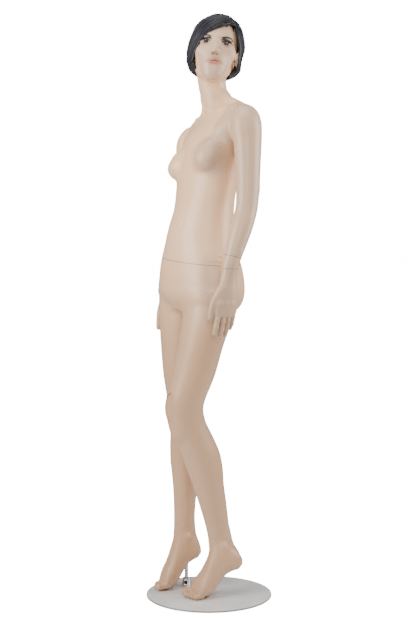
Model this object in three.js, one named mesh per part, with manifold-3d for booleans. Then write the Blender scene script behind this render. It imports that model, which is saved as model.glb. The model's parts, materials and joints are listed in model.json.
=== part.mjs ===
// A full body shop mannequin on a round steel base, as an assembly of separate pieces.
// Millimetres, +Z up. The origin is the centre of the base, on the floor. The figure's
// hips face -Y and its left side is at +X. The hollow moulded shells are cut at the waist,
// the shoulders and the wrists, where cover plates and lock fittings join them.
import * as THREE from "three";
import { mergeVertices } from "three/addons/utils/BufferGeometryUtils.js";
import Module from "manifold-3d";

// ---- driving dimensions ----
const BODY_X = -33; // middle plane of the trunk
const SHELL_WALL = 4;
const PLATE_FIT = 0.4; // gap round a plate inside its shell
const TOUCH = 0.3; // gap between faces that rest on each other
const SEAM_GAP = 0.5; // gap at the waist, shoulder and wrist seams

const BASE_RADIUS = 193;
const BASE_THICKNESS = 6;
const BASE_EDGE = 1.2; // chamfer on the top edge
const PAD_THICKNESS = 1.5;
const PAD_RADIUS = 186;

const ROD_RADIUS = 6;
const ROD_LENGTH = 285;
const ROD_FIT = 0.35;
const COLLAR_RADIUS = 14;
const COLLAR_HEIGHT = 26;
const COLLAR_SCREW_RADIUS = 4;
const COLLAR_SCREW_HEAD = 8;
const COLLAR_SCREW_HEAD_HEIGHT = 4;
const COLLAR_SCREW_DEPTH = 9; // how far the screw goes into the collar
const GRUB_RADIUS = 3;
const GRUB_HEIGHT = 14; // above the base plate
const SOCKET_RADIUS = 9;
const SOCKET_LENGTH = 225;

const WAIST_HEIGHT = 1032; // middle of the waist seam
const WAIST_SLOPE = -0.12; // the seam drops to the figure's left
const SHOULDER_SLOPE = 0.16; // the shoulders rise to the figure's left
const SHOULDER_HEIGHT = 1460;
const SHOULDER_SEAM = 122; // from the middle plane to each shoulder seam
const SHOULDER_DROP = 2 * SHOULDER_SLOPE * SHOULDER_SEAM; // the right arm hangs lower
const SHOULDER_FLOOR = 1385; // under the armpits
const WRIST_HEIGHT = 1040;
const PLATE_THICKNESS = 8;

// A seam's stud has two lugs, which pass the lock ring's slot once it is turned by release.
const WAIST_STUD = { neck: 8, head: 15, ring: 38, screws: 4, screwCircle: 29, nutHeight: 6, release: 30 };
const ARM_STUD = { neck: 4.5, head: 8.5, ring: 17.5, screws: 2, screwCircle: 13, nutHeight: 5, release: -75 };
const STUD_HEAD_HEIGHT = 4;
const STUD_FIT = 0.6;
const LOCK_THICKNESS = 3;
const SCREW_RADIUS = 2;
const SCREW_HEAD = 4;
const SCREW_HEAD_HEIGHT = 2;
const SCREW_FIT = 0.3;
const PEG_RADIUS = 6;
const PEG_LENGTH = 44;
const PEG_ROOT = 28; // how far the peg is set into the hand
const PEG_FIT = 0.4;
const WRIST_SOCKET_WALL = 2;

const FOOT_CLEARANCE = 2.5; // from the base plate to the soles
const HEAD_YAW = 60; // degrees, toward the figure's left
const HEAD_TILT = 8; // chin up
const HEAD_ROLL = 7; // toward the left shoulder
const RIGHT_ARM_BACK = 3.5; // degrees that the right arm is turned back
const HAIR_THICKNESS = 13;
const HAIR_LOOSE_BELOW = 0; // the hair hangs free of the head under this height
const FACE_HALF = 58; // half the width of the hair's opening over the face
const FACE_BACK = -28;
const FACE_TOP = 44;
const CAP_PLANE_HEIGHT = 30;
const CAP_PLANE_TILT = 0.43;
const EYE_X = 30;
const EYE_Z = 12;
const LASH_HALF = 11;
const LASH_TURN = 0.25; // radians
const LASH_THICKNESS = 1;
const LASH_REACH = 6;
const CAP_THICKNESS = 1.5;

// ---- moulded forms: rows of [x, y, z, side, front, back], from low to high ----
const TRUNK = [
  [0, -14, 882, 112, 76, 80],
  [0, -16, 925, 160, 104, 106],
  [0, -14, 975, 158, 107, 126],
  [0, -13, 1020, 148, 105, 122],
  [0, -10, 1075, 127, 102, 102],
  [0, -6, 1130, 111, 97, 94],
  [0, -1, 1190, 105, 82, 92],
  [0, 6, 1250, 111, 78, 90],
  [0, 15, 1312, 119, 79, 90],
  [0, 26, 1370, 121, 76, 88],
  [0, 38, 1420, 136, 66, 80],
  [0, 50, 1454, 142, 52, 64],
  [0, 54, 1478, 118, 42, 54],
  [0, 53, 1502, 79, 39, 48],
  [0, 48, 1526, 46, 39, 42],
];
const NECK = [
  [0, 50, 1470, 50, 42, 48],
  [0, 45, 1510, 45, 41, 43],
  [1, 36, 1550, 43, 42, 42],
  [2, 28, 1595, 44, 43, 46],
  [3, 26, 1635, 45, 43, 50],
];
const LEG_LEFT = [
  [61, 22, 150, 29, 36, 32],
  [60, 16, 200, 32, 36, 39],
  [59, -4, 283, 38, 40, 46],
  [57, -22, 350, 44, 45, 54],
  [54, -33, 400, 50, 52, 62],
  [51, -46, 450, 52, 54, 66],
  [48, -66, 500, 51, 52, 63],
  [46, -86, 550, 52, 56, 57],
  [48, -93, 600, 56, 59, 57],
  [60, -72, 687, 64, 66, 64],
  [71, -52, 778, 72, 70, 65],
  [79, -32, 865, 78, 75, 76],
  [82, -20, 935, 74, 76, 78],
];
const LEG_RIGHT = [
  [-80, -30, 150, 27, 33, 30],
  [-80, -25, 200, 29, 32, 38],
  [-80, -22, 283, 33, 35, 42],
  [-80, -18, 350, 41, 43, 50],
  [-79, -17, 400, 49, 48, 58],
  [-79, -18, 450, 52, 51, 60],
  [-78, -20, 500, 52, 51, 56],
  [-78, -23, 560, 53, 57, 52],
  [-79, -25, 610, 57, 59, 57],
  [-82, -22, 687, 65, 66, 66],
  [-85, -18, 778, 73, 72, 72],
  [-86, -17, 865, 79, 77, 82],
  [-85, -16, 935, 76, 80, 86],
];
// Left arm and hand; the right ones are their mirror image, lowered by the shoulder drop.
const ARM = [
  [190, -29, 1018, 24, 27, 27],
  [190, -20, 1040, 26, 28, 28],
  [189, 2, 1096, 31, 34, 32],
  [187, 19, 1140, 33, 37, 34],
  [183, 35, 1185, 31, 35, 34],
  [178, 43, 1243, 33, 36, 36],
  [171, 48, 1308, 35, 39, 39],
  [164, 52, 1372, 38, 43, 43],
  [157, 54, 1428, 42, 46, 46],
  [151, 55, 1466, 36, 39, 41],
  [146, 55, 1488, 22, 25, 27],
  [144, 55, 1497, 8, 8, 8],
];
const FOREARM_END = [
  [189, -35, 968, 20, 27, 26],
  [190, -31, 992, 20, 26, 25],
  [190, -27, 1018, 24, 27, 27],
  [190, -20, 1040, 26, 28, 28],
  [189, -5, 1078, 29, 32, 30],
];
const PALM = [
  [187, -42, 868, 9, 32, 30],
  [188, -41, 884, 13, 39, 36],
  [189, -39, 910, 16, 41, 38],
  [190, -37, 942, 18, 38, 35],
  [190, -34, 966, 19, 31, 29],
  [190, -31, 988, 20, 26, 25],
];
// Each finger: start y, tip y, tip height, radius.
const FINGERS = [
  [-67, -76, 811, 8.4],
  [-49, -56, 800, 8.8],
  [-31, -38, 807, 8.4],
  [-14, -20, 826, 7.4],
];
const FINGER_ROOT_HEIGHT = 884;
const FINGER_CURL = 9;
const THUMB = [
  [178, -90, 858, 5, 5, 5],
  [178, -89, 866, 8, 9, 9],
  [180, -85, 892, 9, 10, 10],
  [184, -74, 922, 11, 13, 13],
  [188, -53, 950, 13, 17, 17],
];
// Foot: rows of [share of length, sole height, instep height, half width].
const FOOT = [
  [0.0, 98, 122, 10],
  [0.05, 88, 146, 21],
  [0.14, 80, 160, 27],
  [0.27, 68, 172, 30],
  [0.36, 48, 180, 31],
  [0.45, 24, 172, 32],
  [0.52, 6, 150, 34],
  [0.6, 0, 120, 37],
  [0.68, 0, 90, 40],
  [0.78, 0, 62, 42],
  [0.86, 0, 42, 38],
  [0.92, 1, 28, 31],
];
// Each toe, from the inner side: across the foot, tip as a share of length, radius.
const TOES = [
  [-26, 1.0, 12],
  [-8, 0.985, 8.5],
  [6, 0.955, 8],
  [19, 0.92, 7.5],
  [31, 0.88, 7],
];
const TOE_ROOT = 0.76;
const FEET = {
  left: { heel: [95, 75], heading: 16, length: 180, rise: 0.9, inner: -1 },
  right: { heel: [-64, 25], heading: 10, length: 147, rise: 0.98, inner: 1 },
};
const ROD_PLACE = 0.29; // share of the right foot's length, from the heel
const BREAST = { x: 70, y: -27, z: 1336, radii: [50, 44, 46] };
// Head, about its own centre, facing -Y.
const HEAD_CENTRE = [8, 36, 1668];
const HEAD = [
  [0, -50, -102, 18, 18, 26],
  [0, -43, -92, 35, 35, 44],
  [0, -28, -74, 50, 55, 56],
  [0, -14, -48, 60, 72, 72],
  [0, -2, -18, 66, 83, 82],
  [0, 0, 12, 69, 86, 89],
  [0, 2, 42, 71, 84, 91],
  [0, 4, 72, 64, 72, 80],
  [0, 6, 92, 46, 52, 58],
  [0, 8, 104, 18, 22, 26],
];
const HAIR = [
  [5, 10, -82, 66, 30, 70],
  [5, 8, -64, 79, 60, 82],
  [5, 4, -35, 85, 80, 96],
  [5, 2, 5, 86, 90, 103],
  [6, 2, 42, 82, 92, 103],
  [7, 4, 76, 72, 82, 92],
  [8, 6, 100, 50, 58, 66],
  [9, 8, 113, 20, 24, 28],
];

// ---- solids ----
const wasm = await Module();
wasm.setup();

function solid(geometry) {
  const bare = geometry.clone();
  bare.deleteAttribute("normal");
  bare.deleteAttribute("uv");
  const merged = mergeVertices(bare, 1e-4);
  return new wasm.Manifold(
    new wasm.Mesh({
      numProp: 3,
      vertProperties: merged.attributes.position.array,
      triVerts: new Uint32Array(merged.index.array),
    }),
  );
}

const join = (parts) => parts.reduce((whole, part) => whole.add(part));

// A closed skin through elliptical sections, which a smooth curve joins.
function loftGeometry(rows, around, along) {
  const pick = (row, first) => new THREE.Vector3(...row.slice(first, first + 3));
  const centres = new THREE.CatmullRomCurve3(rows.map((row) => pick(row, 0)), false, "catmullrom");
  const sizes = new THREE.CatmullRomCurve3(rows.map((row) => pick(row, 3)), false, "catmullrom");
  const geometry = new THREE.CylinderGeometry(1, 1, 1, around, along);
  geometry.rotateX(Math.PI / 2);
  const place = geometry.attributes.position;
  for (let i = 0; i < place.count; i += 1) {
    const t = THREE.MathUtils.clamp(place.getZ(i) + 0.5, 0, 1);
    const centre = centres.getPoint(t);
    const size = sizes.getPoint(t);
    const depth = place.getY(i) < 0 ? size.y : size.z;
    place.setXYZ(
      i,
      centre.x + place.getX(i) * size.x,
      centre.y + place.getY(i) * depth,
      centre.z,
    );
  }
  return geometry;
}

const loft = (rows, around, along) => solid(loftGeometry(rows, around, along));

// The same form, smaller all round by the shell's wall.
const inset = (rows, by) =>
  rows.map(([x, y, z, ...sizes]) => [x, y, z, ...sizes.map((size) => Math.max(size - by, 1))]);

const cylinder = (radius, low, high, segments = 16) => {
  const geometry = new THREE.CylinderGeometry(radius, radius, high - low, segments);
  geometry.rotateX(Math.PI / 2).translate(0, 0, (low + high) / 2);
  return solid(geometry);
};

const box = (low, high) => {
  const size = high.map((value, axis) => value - low[axis]);
  const geometry = new THREE.BoxGeometry(...size);
  geometry.translate(...low.map((value, axis) => value + size[axis] / 2));
  return solid(geometry);
};

const ellipsoid = (centre, radii) => {
  const geometry = new THREE.SphereGeometry(1, 12, 7);
  geometry.rotateX(Math.PI / 2).scale(...radii).translate(...centre);
  return solid(geometry);
};

const moved = (part, matrix) => part.transform(matrix.elements.slice());

// ---- frames of the seams ----
const WAIST_NORMAL = new THREE.Vector3(-WAIST_SLOPE, 0, 1).normalize();
const WAIST_FRAME = new THREE.Matrix4()
  .makeRotationFromQuaternion(
    new THREE.Quaternion().setFromUnitVectors(new THREE.Vector3(0, 0, 1), WAIST_NORMAL),
  )
  .setPosition(0, -10, WAIST_HEIGHT);

const centreOf = (row) => new THREE.Vector3(...row.slice(0, 3));
const wristRow = FOREARM_END.findIndex((row) => row[2] === WRIST_HEIGHT);
const WRIST_POINT = centreOf(FOREARM_END[wristRow]);
const WRIST_AXIS = centreOf(FOREARM_END[wristRow + 1])
  .sub(centreOf(FOREARM_END[wristRow - 2]))
  .normalize();
const WRIST_FRAME = new THREE.Matrix4()
  .makeRotationFromQuaternion(
    new THREE.Quaternion().setFromUnitVectors(new THREE.Vector3(0, 0, 1), WRIST_AXIS),
  )
  .setPosition(WRIST_POINT);

// The left shoulder's frame: local +Z points out along +X.
const SHOULDER_POINT = new THREE.Vector3(SHOULDER_SEAM, 47, 1446);
const SHOULDER_FRAME = new THREE.Matrix4().makeRotationY(Math.PI / 2).setPosition(SHOULDER_POINT);

const HEAD_FRAME = new THREE.Matrix4()
  .makeRotationFromEuler(
    new THREE.Euler(
      THREE.MathUtils.degToRad(-HEAD_TILT),
      THREE.MathUtils.degToRad(HEAD_ROLL),
      THREE.MathUtils.degToRad(HEAD_YAW),
      "ZXY",
    ),
  )
  .setPosition(...HEAD_CENTRE);

// ---- the figure as one form, before it is cut ----
function tilted(geometry) {
  const place = geometry.attributes.position;
  const rise = SHOULDER_HEIGHT - WAIST_HEIGHT;
  for (let i = 0; i < place.count; i += 1) {
    const share = THREE.MathUtils.clamp((place.getZ(i) - WAIST_HEIGHT) / rise, 0, 1);
    const slope = THREE.MathUtils.lerp(WAIST_SLOPE, SHOULDER_SLOPE, share);
    const side = THREE.MathUtils.clamp(place.getX(i), -SHOULDER_SEAM * 1.3, SHOULDER_SEAM * 1.3);
    place.setZ(i, place.getZ(i) + slope * side);
  }
  return geometry;
}

const trunk = (by) => solid(tilted(loftGeometry(inset(TRUNK, by), 20, 15)));

function breasts() {
  return [-1, 1].map((side) =>
    ellipsoid([side * BREAST.x, BREAST.y, BREAST.z + side * SHOULDER_SLOPE * 40], BREAST.radii),
  );
}

function headForm(by) {
  return moved(loft(inset(HEAD, by), 16, 9), HEAD_FRAME);
}

function faceFeatures() {
  const nose = loft(
    [
      [0, -80, -30, 3, 8, 8],
      [0, -81, -22, 13, 19, 10],
      [0, -80, -10, 8, 15, 8],
      [0, -80, 14, 6, 7, 8],
    ],
    6,
    4,
  );
  return [nose, ...earForms(0)].map((part) => moved(part, HEAD_FRAME));
}

function earForms(by) {
  return [-1, 1].map((side) => ellipsoid([side * 68, 8, -10], [9 - by, 16 - by, 30 - by]));
}

function footFrame(foot) {
  const turn = THREE.MathUtils.degToRad(foot.heading);
  const ahead = new THREE.Vector3(-Math.sin(turn), -Math.cos(turn), 0);
  const up = new THREE.Vector3(0, 0, 1);
  const across = new THREE.Vector3().crossVectors(up, ahead);
  const floor = PAD_THICKNESS + BASE_THICKNESS + FOOT_CLEARANCE;
  return new THREE.Matrix4()
    .makeBasis(across, up, ahead)
    .setPosition(foot.heel[0], foot.heel[1], floor);
}

function footForm(foot) {
  const body = FOOT.map(([share, sole, instep, half]) => {
    const low = sole * foot.rise;
    const high = instep * foot.rise;
    const middle = low + (high - low) * 0.4;
    return [0, middle, share * foot.length, half, middle - low, high - middle];
  });
  const toes = TOES.map(([across, tip, radius]) => {
    const from = TOE_ROOT * foot.length;
    const to = tip * foot.length;
    const x = -across * foot.inner;
    return loft(
      [
        [x * 0.9, radius, from, radius, radius, radius],
        [x, radius * 1.1, from + (to - from) * 0.45, radius, radius, radius * 1.05],
        [x, radius, to - radius * 0.5, radius, radius, radius * 0.9],
        [x, radius * 0.8, to, radius * 0.4, radius * 0.5, radius * 0.4],
      ],
      6,
      3,
    );
  });
  return moved(join([loft(body, 12, 11), ...toes]), footFrame(foot));
}

function lowerForm() {
  const legs = [LEG_LEFT, LEG_RIGHT].map((rows) => loft(rows, 14, 13));
  return join([trunk(0), ...legs, footForm(FEET.left), footForm(FEET.right)]);
}

// The hollow stops above the ankles, which are moulded solid.
const HOLLOW_FLOOR = 250;
function lowerHollow() {
  const legs = [LEG_LEFT, LEG_RIGHT].map((rows) =>
    loft(inset(rows, SHELL_WALL), 14, 13).trimByPlane([0, 0, 1], HOLLOW_FLOOR),
  );
  return join([trunk(SHELL_WALL).trimByPlane([0, 0, 1], TRUNK[1][2]), ...legs]);
}

function handForm() {
  const fingers = FINGERS.map(([y, tipY, tip, radius]) => {
    const height = FINGER_ROOT_HEIGHT - tip;
    const at = (share, x, r) => [
      187 - x,
      y + (tipY - y) * share,
      FINGER_ROOT_HEIGHT - height * share,
      r,
      r,
      r,
    ];
    const rows = [
      at(1, FINGER_CURL, radius * 0.45),
      at(0.95, FINGER_CURL * 0.9, radius * 0.8),
      at(0.5, FINGER_CURL * 0.3, radius * 0.95),
      at(0, 0, radius),
    ];
    return loft(rows, 6, 3);
  });
  return join([loft(PALM, 10, 5), loft(THUMB, 6, 4), ...fingers, loft(FOREARM_END, 14, 3)]);
}

// ---- placing the figure's own forms about the trunk's middle plane ----
const BODY_FRAME = new THREE.Matrix4().makeTranslation(BODY_X, 0, 0);
const MIRROR = new THREE.Matrix4().makeScale(-1, 1, 1);
const DROP = new THREE.Matrix4().makeTranslation(0, 0, -SHOULDER_DROP);
const toSide = (part, side) => (side > 0 ? part : moved(moved(part, MIRROR), DROP));

// The half space above a plane in a frame, and the slab between two heights in it.
const above = (part, frame, height = 0) => {
  const normal = new THREE.Vector3(0, 0, 1).transformDirection(frame);
  const point = new THREE.Vector3(0, 0, height).applyMatrix4(frame);
  return part.trimByPlane(normal.toArray(), normal.dot(point));
};
const below = (part, frame, height = 0) => {
  const normal = new THREE.Vector3(0, 0, -1).transformDirection(frame);
  const point = new THREE.Vector3(0, 0, height).applyMatrix4(frame);
  return part.trimByPlane(normal.toArray(), normal.dot(point));
};
const slab = (part, frame, low, high) => below(above(part, frame, low), frame, high);

// ---- materials ----
const paint = (color, roughness, metalness) =>
  new THREE.MeshStandardMaterial({ color, roughness, metalness });
const SKIN = paint(0xd8bfa6, 0.45, 0);
const BOARD = paint(0x8a6f55, 0.8, 0);
const STEEL = paint(0xc6c6c4, 0.35, 1);
const CHROME = paint(0xe0e2e4, 0.12, 1);
const BLACK_STEEL = paint(0x2a2a2c, 0.4, 1);
const ZINC = paint(0xb4b6b8, 0.4, 1);
const FOAM = paint(0x2b2b2b, 0.9, 0);
const HAIR_FIBRE = paint(0x232325, 0.5, 0);
const NET = paint(0x1e1c1b, 0.9, 0);

const mannequin = new THREE.Group();

function add(name, part, material, frame = BODY_FRAME) {
  const made = moved(part, frame).getMesh();
  const geometry = new THREE.BufferGeometry();
  geometry.setAttribute("position", new THREE.BufferAttribute(made.vertProperties, 3));
  geometry.setIndex(new THREE.BufferAttribute(made.triVerts, 1));
  geometry.computeVertexNormals();
  const mesh = new THREE.Mesh(geometry, material);
  mesh.name = name;
  mannequin.add(mesh);
}

// ---- base ----
const FLOOR_TOP = PAD_THICKNESS + BASE_THICKNESS;
const ROD_LOW = FLOOR_TOP + COLLAR_SCREW_DEPTH + TOUCH;
const IDENTITY = new THREE.Matrix4();

function rodPlace() {
  const point = new THREE.Vector3(0, 0, ROD_PLACE * FEET.right.length);
  point.applyMatrix4(footFrame(FEET.right));
  return new THREE.Matrix4().makeTranslation(point.x + BODY_X, point.y, 0);
}
const ROD_FRAME = rodPlace();

function grub(radius, from, to) {
  const turn = new THREE.Matrix4().makeRotationZ(THREE.MathUtils.degToRad(-40));
  const lie = new THREE.Matrix4().makeRotationY(Math.PI / 2);
  const lift = new THREE.Matrix4().makeTranslation(0, 0, FLOOR_TOP + GRUB_HEIGHT);
  return moved(cylinder(radius, from, to, 20), lift.multiply(turn).multiply(lie));
}

function buildBase() {
  const outline = [
    new THREE.Vector2(0, PAD_THICKNESS),
    new THREE.Vector2(BASE_RADIUS, PAD_THICKNESS),
    new THREE.Vector2(BASE_RADIUS, FLOOR_TOP - BASE_EDGE),
    new THREE.Vector2(BASE_RADIUS - BASE_EDGE, FLOOR_TOP),
    new THREE.Vector2(0, FLOOR_TOP),
  ];
  const disc = solid(new THREE.LatheGeometry(outline, 48).rotateX(Math.PI / 2));
  const hole = cylinder(COLLAR_SCREW_RADIUS + SCREW_FIT, 0, FLOOR_TOP + 1);
  const headHole = cylinder(
    COLLAR_SCREW_HEAD + SCREW_FIT,
    0,
    PAD_THICKNESS + COLLAR_SCREW_HEAD_HEIGHT + TOUCH,
  );
  add("base_plate", disc.subtract(moved(hole.add(headHole), ROD_FRAME)), STEEL, IDENTITY);

  const pad = cylinder(PAD_RADIUS, 0, PAD_THICKNESS - TOUCH, 36);
  const padHole = cylinder(COLLAR_SCREW_HEAD + 4, -1, FLOOR_TOP);
  add("base_backing_pad", pad.subtract(moved(padHole, ROD_FRAME)), FOAM, IDENTITY);

  const collar = cylinder(COLLAR_RADIUS, FLOOR_TOP + TOUCH, FLOOR_TOP + COLLAR_HEIGHT)
    .subtract(cylinder(ROD_RADIUS + ROD_FIT, FLOOR_TOP + COLLAR_SCREW_DEPTH, 100))
    .subtract(cylinder(COLLAR_SCREW_RADIUS + SCREW_FIT, 0, FLOOR_TOP + COLLAR_SCREW_DEPTH + 1, 12))
    .subtract(grub(GRUB_RADIUS + SCREW_FIT, 0, COLLAR_RADIUS + 2));
  add("rod_collar", collar, CHROME, ROD_FRAME);

  const shank = cylinder(COLLAR_SCREW_RADIUS, PAD_THICKNESS + 1, FLOOR_TOP + COLLAR_SCREW_DEPTH - 1, 20);
  const head = cylinder(COLLAR_SCREW_HEAD, PAD_THICKNESS, PAD_THICKNESS + COLLAR_SCREW_HEAD_HEIGHT, 16);
  const drive = box([-4, -1, 0], [4, 1, PAD_THICKNESS + 1.5]);
  add("collar_fixing_screw", shank.add(head).subtract(drive), ZINC, ROD_FRAME);

  const hex = new THREE.CylinderGeometry(1.6, 1.6, 4, 6).rotateX(Math.PI / 2);
  const turn = new THREE.Matrix4().makeRotationZ(THREE.MathUtils.degToRad(-40));
  const lie = new THREE.Matrix4().makeRotationY(Math.PI / 2);
  const socket = new THREE.Matrix4()
    .makeTranslation(0, 0, FLOOR_TOP + GRUB_HEIGHT)
    .multiply(turn)
    .multiply(lie)
    .multiply(new THREE.Matrix4().makeTranslation(0, 0, COLLAR_RADIUS + 1));
  const screw = grub(GRUB_RADIUS, ROD_RADIUS + TOUCH, COLLAR_RADIUS + 1);
  add("collar_set_screw", screw.subtract(moved(solid(hex), socket)), BLACK_STEEL, ROD_FRAME);

  const rod = cylinder(ROD_RADIUS, ROD_LOW, ROD_LOW + ROD_LENGTH, 16);
  add("support_rod", rod, CHROME, ROD_FRAME);
}

// ---- shells ----
const SOCKET_TOP = ROD_LOW + ROD_LENGTH + TOUCH + LOCK_THICKNESS;
const socketHole = () => {
  const whole = new THREE.Matrix4().makeTranslation(-BODY_X, 0, 0).multiply(ROD_FRAME);
  return moved(cylinder(SOCKET_RADIUS + PLATE_FIT, 20, SOCKET_TOP + 2), whole);
};

// The fittings on one seam: two cover plates, a stud through both, a lock plate and its screws.
function lowerBody(form, hollow) {
  const shell = below(form, WAIST_FRAME, -SEAM_GAP / 2).subtract(hollow).subtract(socketHole());
  add("lower_body_shell", shell, SKIN);
  const tube = cylinder(SOCKET_RADIUS, SOCKET_TOP - SOCKET_LENGTH, SOCKET_TOP)
    .subtract(cylinder(ROD_RADIUS + ROD_FIT, 0, SOCKET_TOP - LOCK_THICKNESS, 16));
  add("foot_socket_tube", tube, STEEL, ROD_FRAME);
}

function upperBody(form, hollow) {
  let shell = above(form, WAIST_FRAME, SEAM_GAP / 2).subtract(hollow);
  [-1, 1].forEach((side) => {
    const low = side > 0 ? SHOULDER_SEAM - SEAM_GAP / 2 : -400;
    const high = side > 0 ? 400 : -SHOULDER_SEAM + SEAM_GAP / 2;
    const floor = SHOULDER_FLOOR - (side > 0 ? 0 : SHOULDER_DROP);
    shell = shell.subtract(box([low, -200, floor], [high, 250, 1600]));
  });
  add("upper_body_shell", shell, SKIN);
}

const bore = (radius, segments = 16) => cylinder(radius, -60, 60, segments);

// Two lugs on opposite sides of a stud, as wide as its neck.
const lugs = (radius, half, low, high) =>
  cylinder(radius, low, high, 20).intersect(box([-radius, -half, low - 1], [radius, half, high + 1]));

// What joins two shells at a seam. In the seam's frame +Z points from the shell that
// holds to the shell that is carried; a mushroom stud on the carried plate drops through
// the holding plate and turns into a lock ring under it.
function seamFitting(name, place, frame, forms, stud) {
  const half = SEAM_GAP / 2;
  const put = (node, part, material) => add(node, place(moved(part, frame)), material);
  const plate = (form, low, high) => slab(form, frame, low, high);
  const local = (part) => moved(part, frame);
  const ringTop = -half - PLATE_THICKNESS - TOUCH;
  const ringLow = ringTop - LOCK_THICKNESS;
  const screwPlaces = Array.from({ length: stud.screws }, (_, k) => {
    const angle = (k * 2 * Math.PI) / stud.screws;
    const reach = stud.screwCircle;
    return new THREE.Matrix4().makeTranslation(reach * Math.cos(angle), reach * Math.sin(angle), 0);
  });
  const screwHoles = join(
    screwPlaces.map((at) => moved(cylinder(SCREW_RADIUS + SCREW_FIT, ringLow - 1, 5, 8), at)),
  );
  const holding = plate(forms.holding, -half - PLATE_THICKNESS, -half);
  const holes = bore(stud.head + STUD_FIT).add(screwHoles);
  add(name + "_plate_lower", place(holding.subtract(local(holes))), BOARD);
  const carried = plate(forms.carried, half, half + PLATE_THICKNESS);
  add(name + "_plate_upper", place(carried.subtract(local(bore(stud.neck + SCREW_FIT)))), BOARD);

  const headTop = ringLow - TOUCH;
  const nutLow = half + PLATE_THICKNESS + TOUCH;
  const mushroom = join([
    cylinder(stud.neck, headTop - 1, nutLow + stud.nutHeight, 16),
    lugs(stud.head, stud.neck, headTop - STUD_HEAD_HEIGHT, headTop),
    cylinder(stud.head, -half - STUD_HEAD_HEIGHT, half - TOUCH, 16),
  ]);
  put(name + "_stud", mushroom, ZINC);
  const nut = cylinder(stud.head, nutLow, nutLow + stud.nutHeight - TOUCH, 6);
  put(name + "_stud_nut", nut.subtract(bore(stud.neck + SCREW_FIT, 16)), ZINC);
  const release = new THREE.Matrix4().makeRotationZ(THREE.MathUtils.degToRad(stud.release));
  const slot = lugs(stud.head + STUD_FIT, stud.neck + STUD_FIT, ringLow - 1, ringTop + 1);
  const ring = cylinder(stud.ring, ringLow, ringTop, 20)
    .subtract(bore(stud.neck + STUD_FIT, 16))
    .subtract(moved(slot, release))
    .subtract(screwHoles);
  put(name + "_lock_ring", ring, ZINC);
  screwPlaces.forEach((at, k) => {
    const screw = cylinder(SCREW_RADIUS, headTop - 1, -half - 2, 8).add(
      cylinder(SCREW_HEAD, headTop - SCREW_HEAD_HEIGHT, headTop, 8),
    );
    put(name + "_screw_" + (k + 1), moved(screw, at), ZINC);
  });
}

function waistFittings() {
  const inner = trunk(SHELL_WALL + PLATE_FIT);
  seamFitting("waist", (part) => part, WAIST_FRAME, { holding: inner, carried: inner }, WAIST_STUD);
}

// ---- arms and hands, made as the left ones ----
// The right shoulder's share of the trunk, brought to the left one's place.
function shoulderPart(form, side) {
  const lift = new THREE.Matrix4().makeTranslation(0, 0, SHOULDER_DROP);
  const own = side > 0 ? form : moved(moved(form, lift), MIRROR);
  return own.intersect(box([0, -200, SHOULDER_FLOOR], [400, 250, 1600]));
}

// The right arm hangs straighter: it is turned back about the shoulder's own axis.
function swung(part, side) {
  const back = THREE.MathUtils.degToRad(side > 0 ? 0 : RIGHT_ARM_BACK);
  const turn = new THREE.Matrix4()
    .makeTranslation(SHOULDER_POINT.x, SHOULDER_POINT.y, SHOULDER_POINT.z)
    .multiply(new THREE.Matrix4().makeRotationX(back))
    .multiply(new THREE.Matrix4().makeTranslation(...SHOULDER_POINT.clone().negate().toArray()));
  return moved(part, turn);
}

function armLoft(by) {
  return loft(inset(ARM, by), 14, 11);
}

function buildArm(name, side) {
  const place = (part) => toSide(part, side);
  const half = SEAM_GAP / 2;
  const seam = (by) => shoulderPart(trunk(by), side);
  const lower = above(armLoft(0), WRIST_FRAME, half);
  const outer = above(swung(lower, side).add(seam(0)), SHOULDER_FRAME, half);
  const hollowArm = armLoft(SHELL_WALL).trimByPlane([0, 0, 1], WRIST_HEIGHT + PEG_LENGTH);
  const hollow = swung(hollowArm, side).add(seam(SHELL_WALL));
  const socketRadius = PEG_RADIUS + PEG_FIT + WRIST_SOCKET_WALL;
  const socketHole = moved(cylinder(socketRadius + PLATE_FIT, -2, PEG_LENGTH + 30, 16), WRIST_FRAME);
  const shell = outer.subtract(hollow).subtract(swung(socketHole, side));
  add("arm_shell_" + name, place(shell), SKIN);

  const fit = SHELL_WALL + PLATE_FIT;
  const holding = seam(fit).add(shoulderInner(side, fit));
  const carried = swung(armLoft(fit), side).add(seam(fit));
  const prefix = "shoulder_" + name;
  seamFitting(prefix, place, SHOULDER_FRAME, { holding, carried }, ARM_STUD);

  const socket = cylinder(socketRadius, half + TOUCH, PEG_LENGTH + half, 16)
    .subtract(cylinder(PEG_RADIUS + PEG_FIT, 0, PEG_LENGTH - WRIST_SOCKET_WALL, 16));
  add("wrist_socket_" + name, place(swung(moved(socket, WRIST_FRAME), side)), STEEL);
  const peg = cylinder(PEG_RADIUS, -PEG_ROOT, PEG_LENGTH - WRIST_SOCKET_WALL - TOUCH, 16);
  add("wrist_peg_" + name, place(swung(moved(peg, WRIST_FRAME), side)), ZINC);
  const pegHole = moved(cylinder(PEG_RADIUS + TOUCH, -PEG_ROOT - TOUCH, 10, 16), WRIST_FRAME);
  const hand = below(handForm(), WRIST_FRAME, -half).subtract(pegHole);
  add("hand_" + name, place(swung(hand, side)), SKIN);
}

// The trunk's own inside next to the shoulder seam.
function shoulderInner(side, by) {
  const form = trunk(by);
  const lift = new THREE.Matrix4().makeTranslation(0, 0, SHOULDER_DROP);
  const own = side > 0 ? form : moved(moved(form, lift), MIRROR);
  return own.intersect(box([60, -200, SHOULDER_FLOOR], [400, 250, 1600]));
}

// ---- wig and lashes ----
const inHead = (part) => moved(part, HEAD_FRAME);

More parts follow.
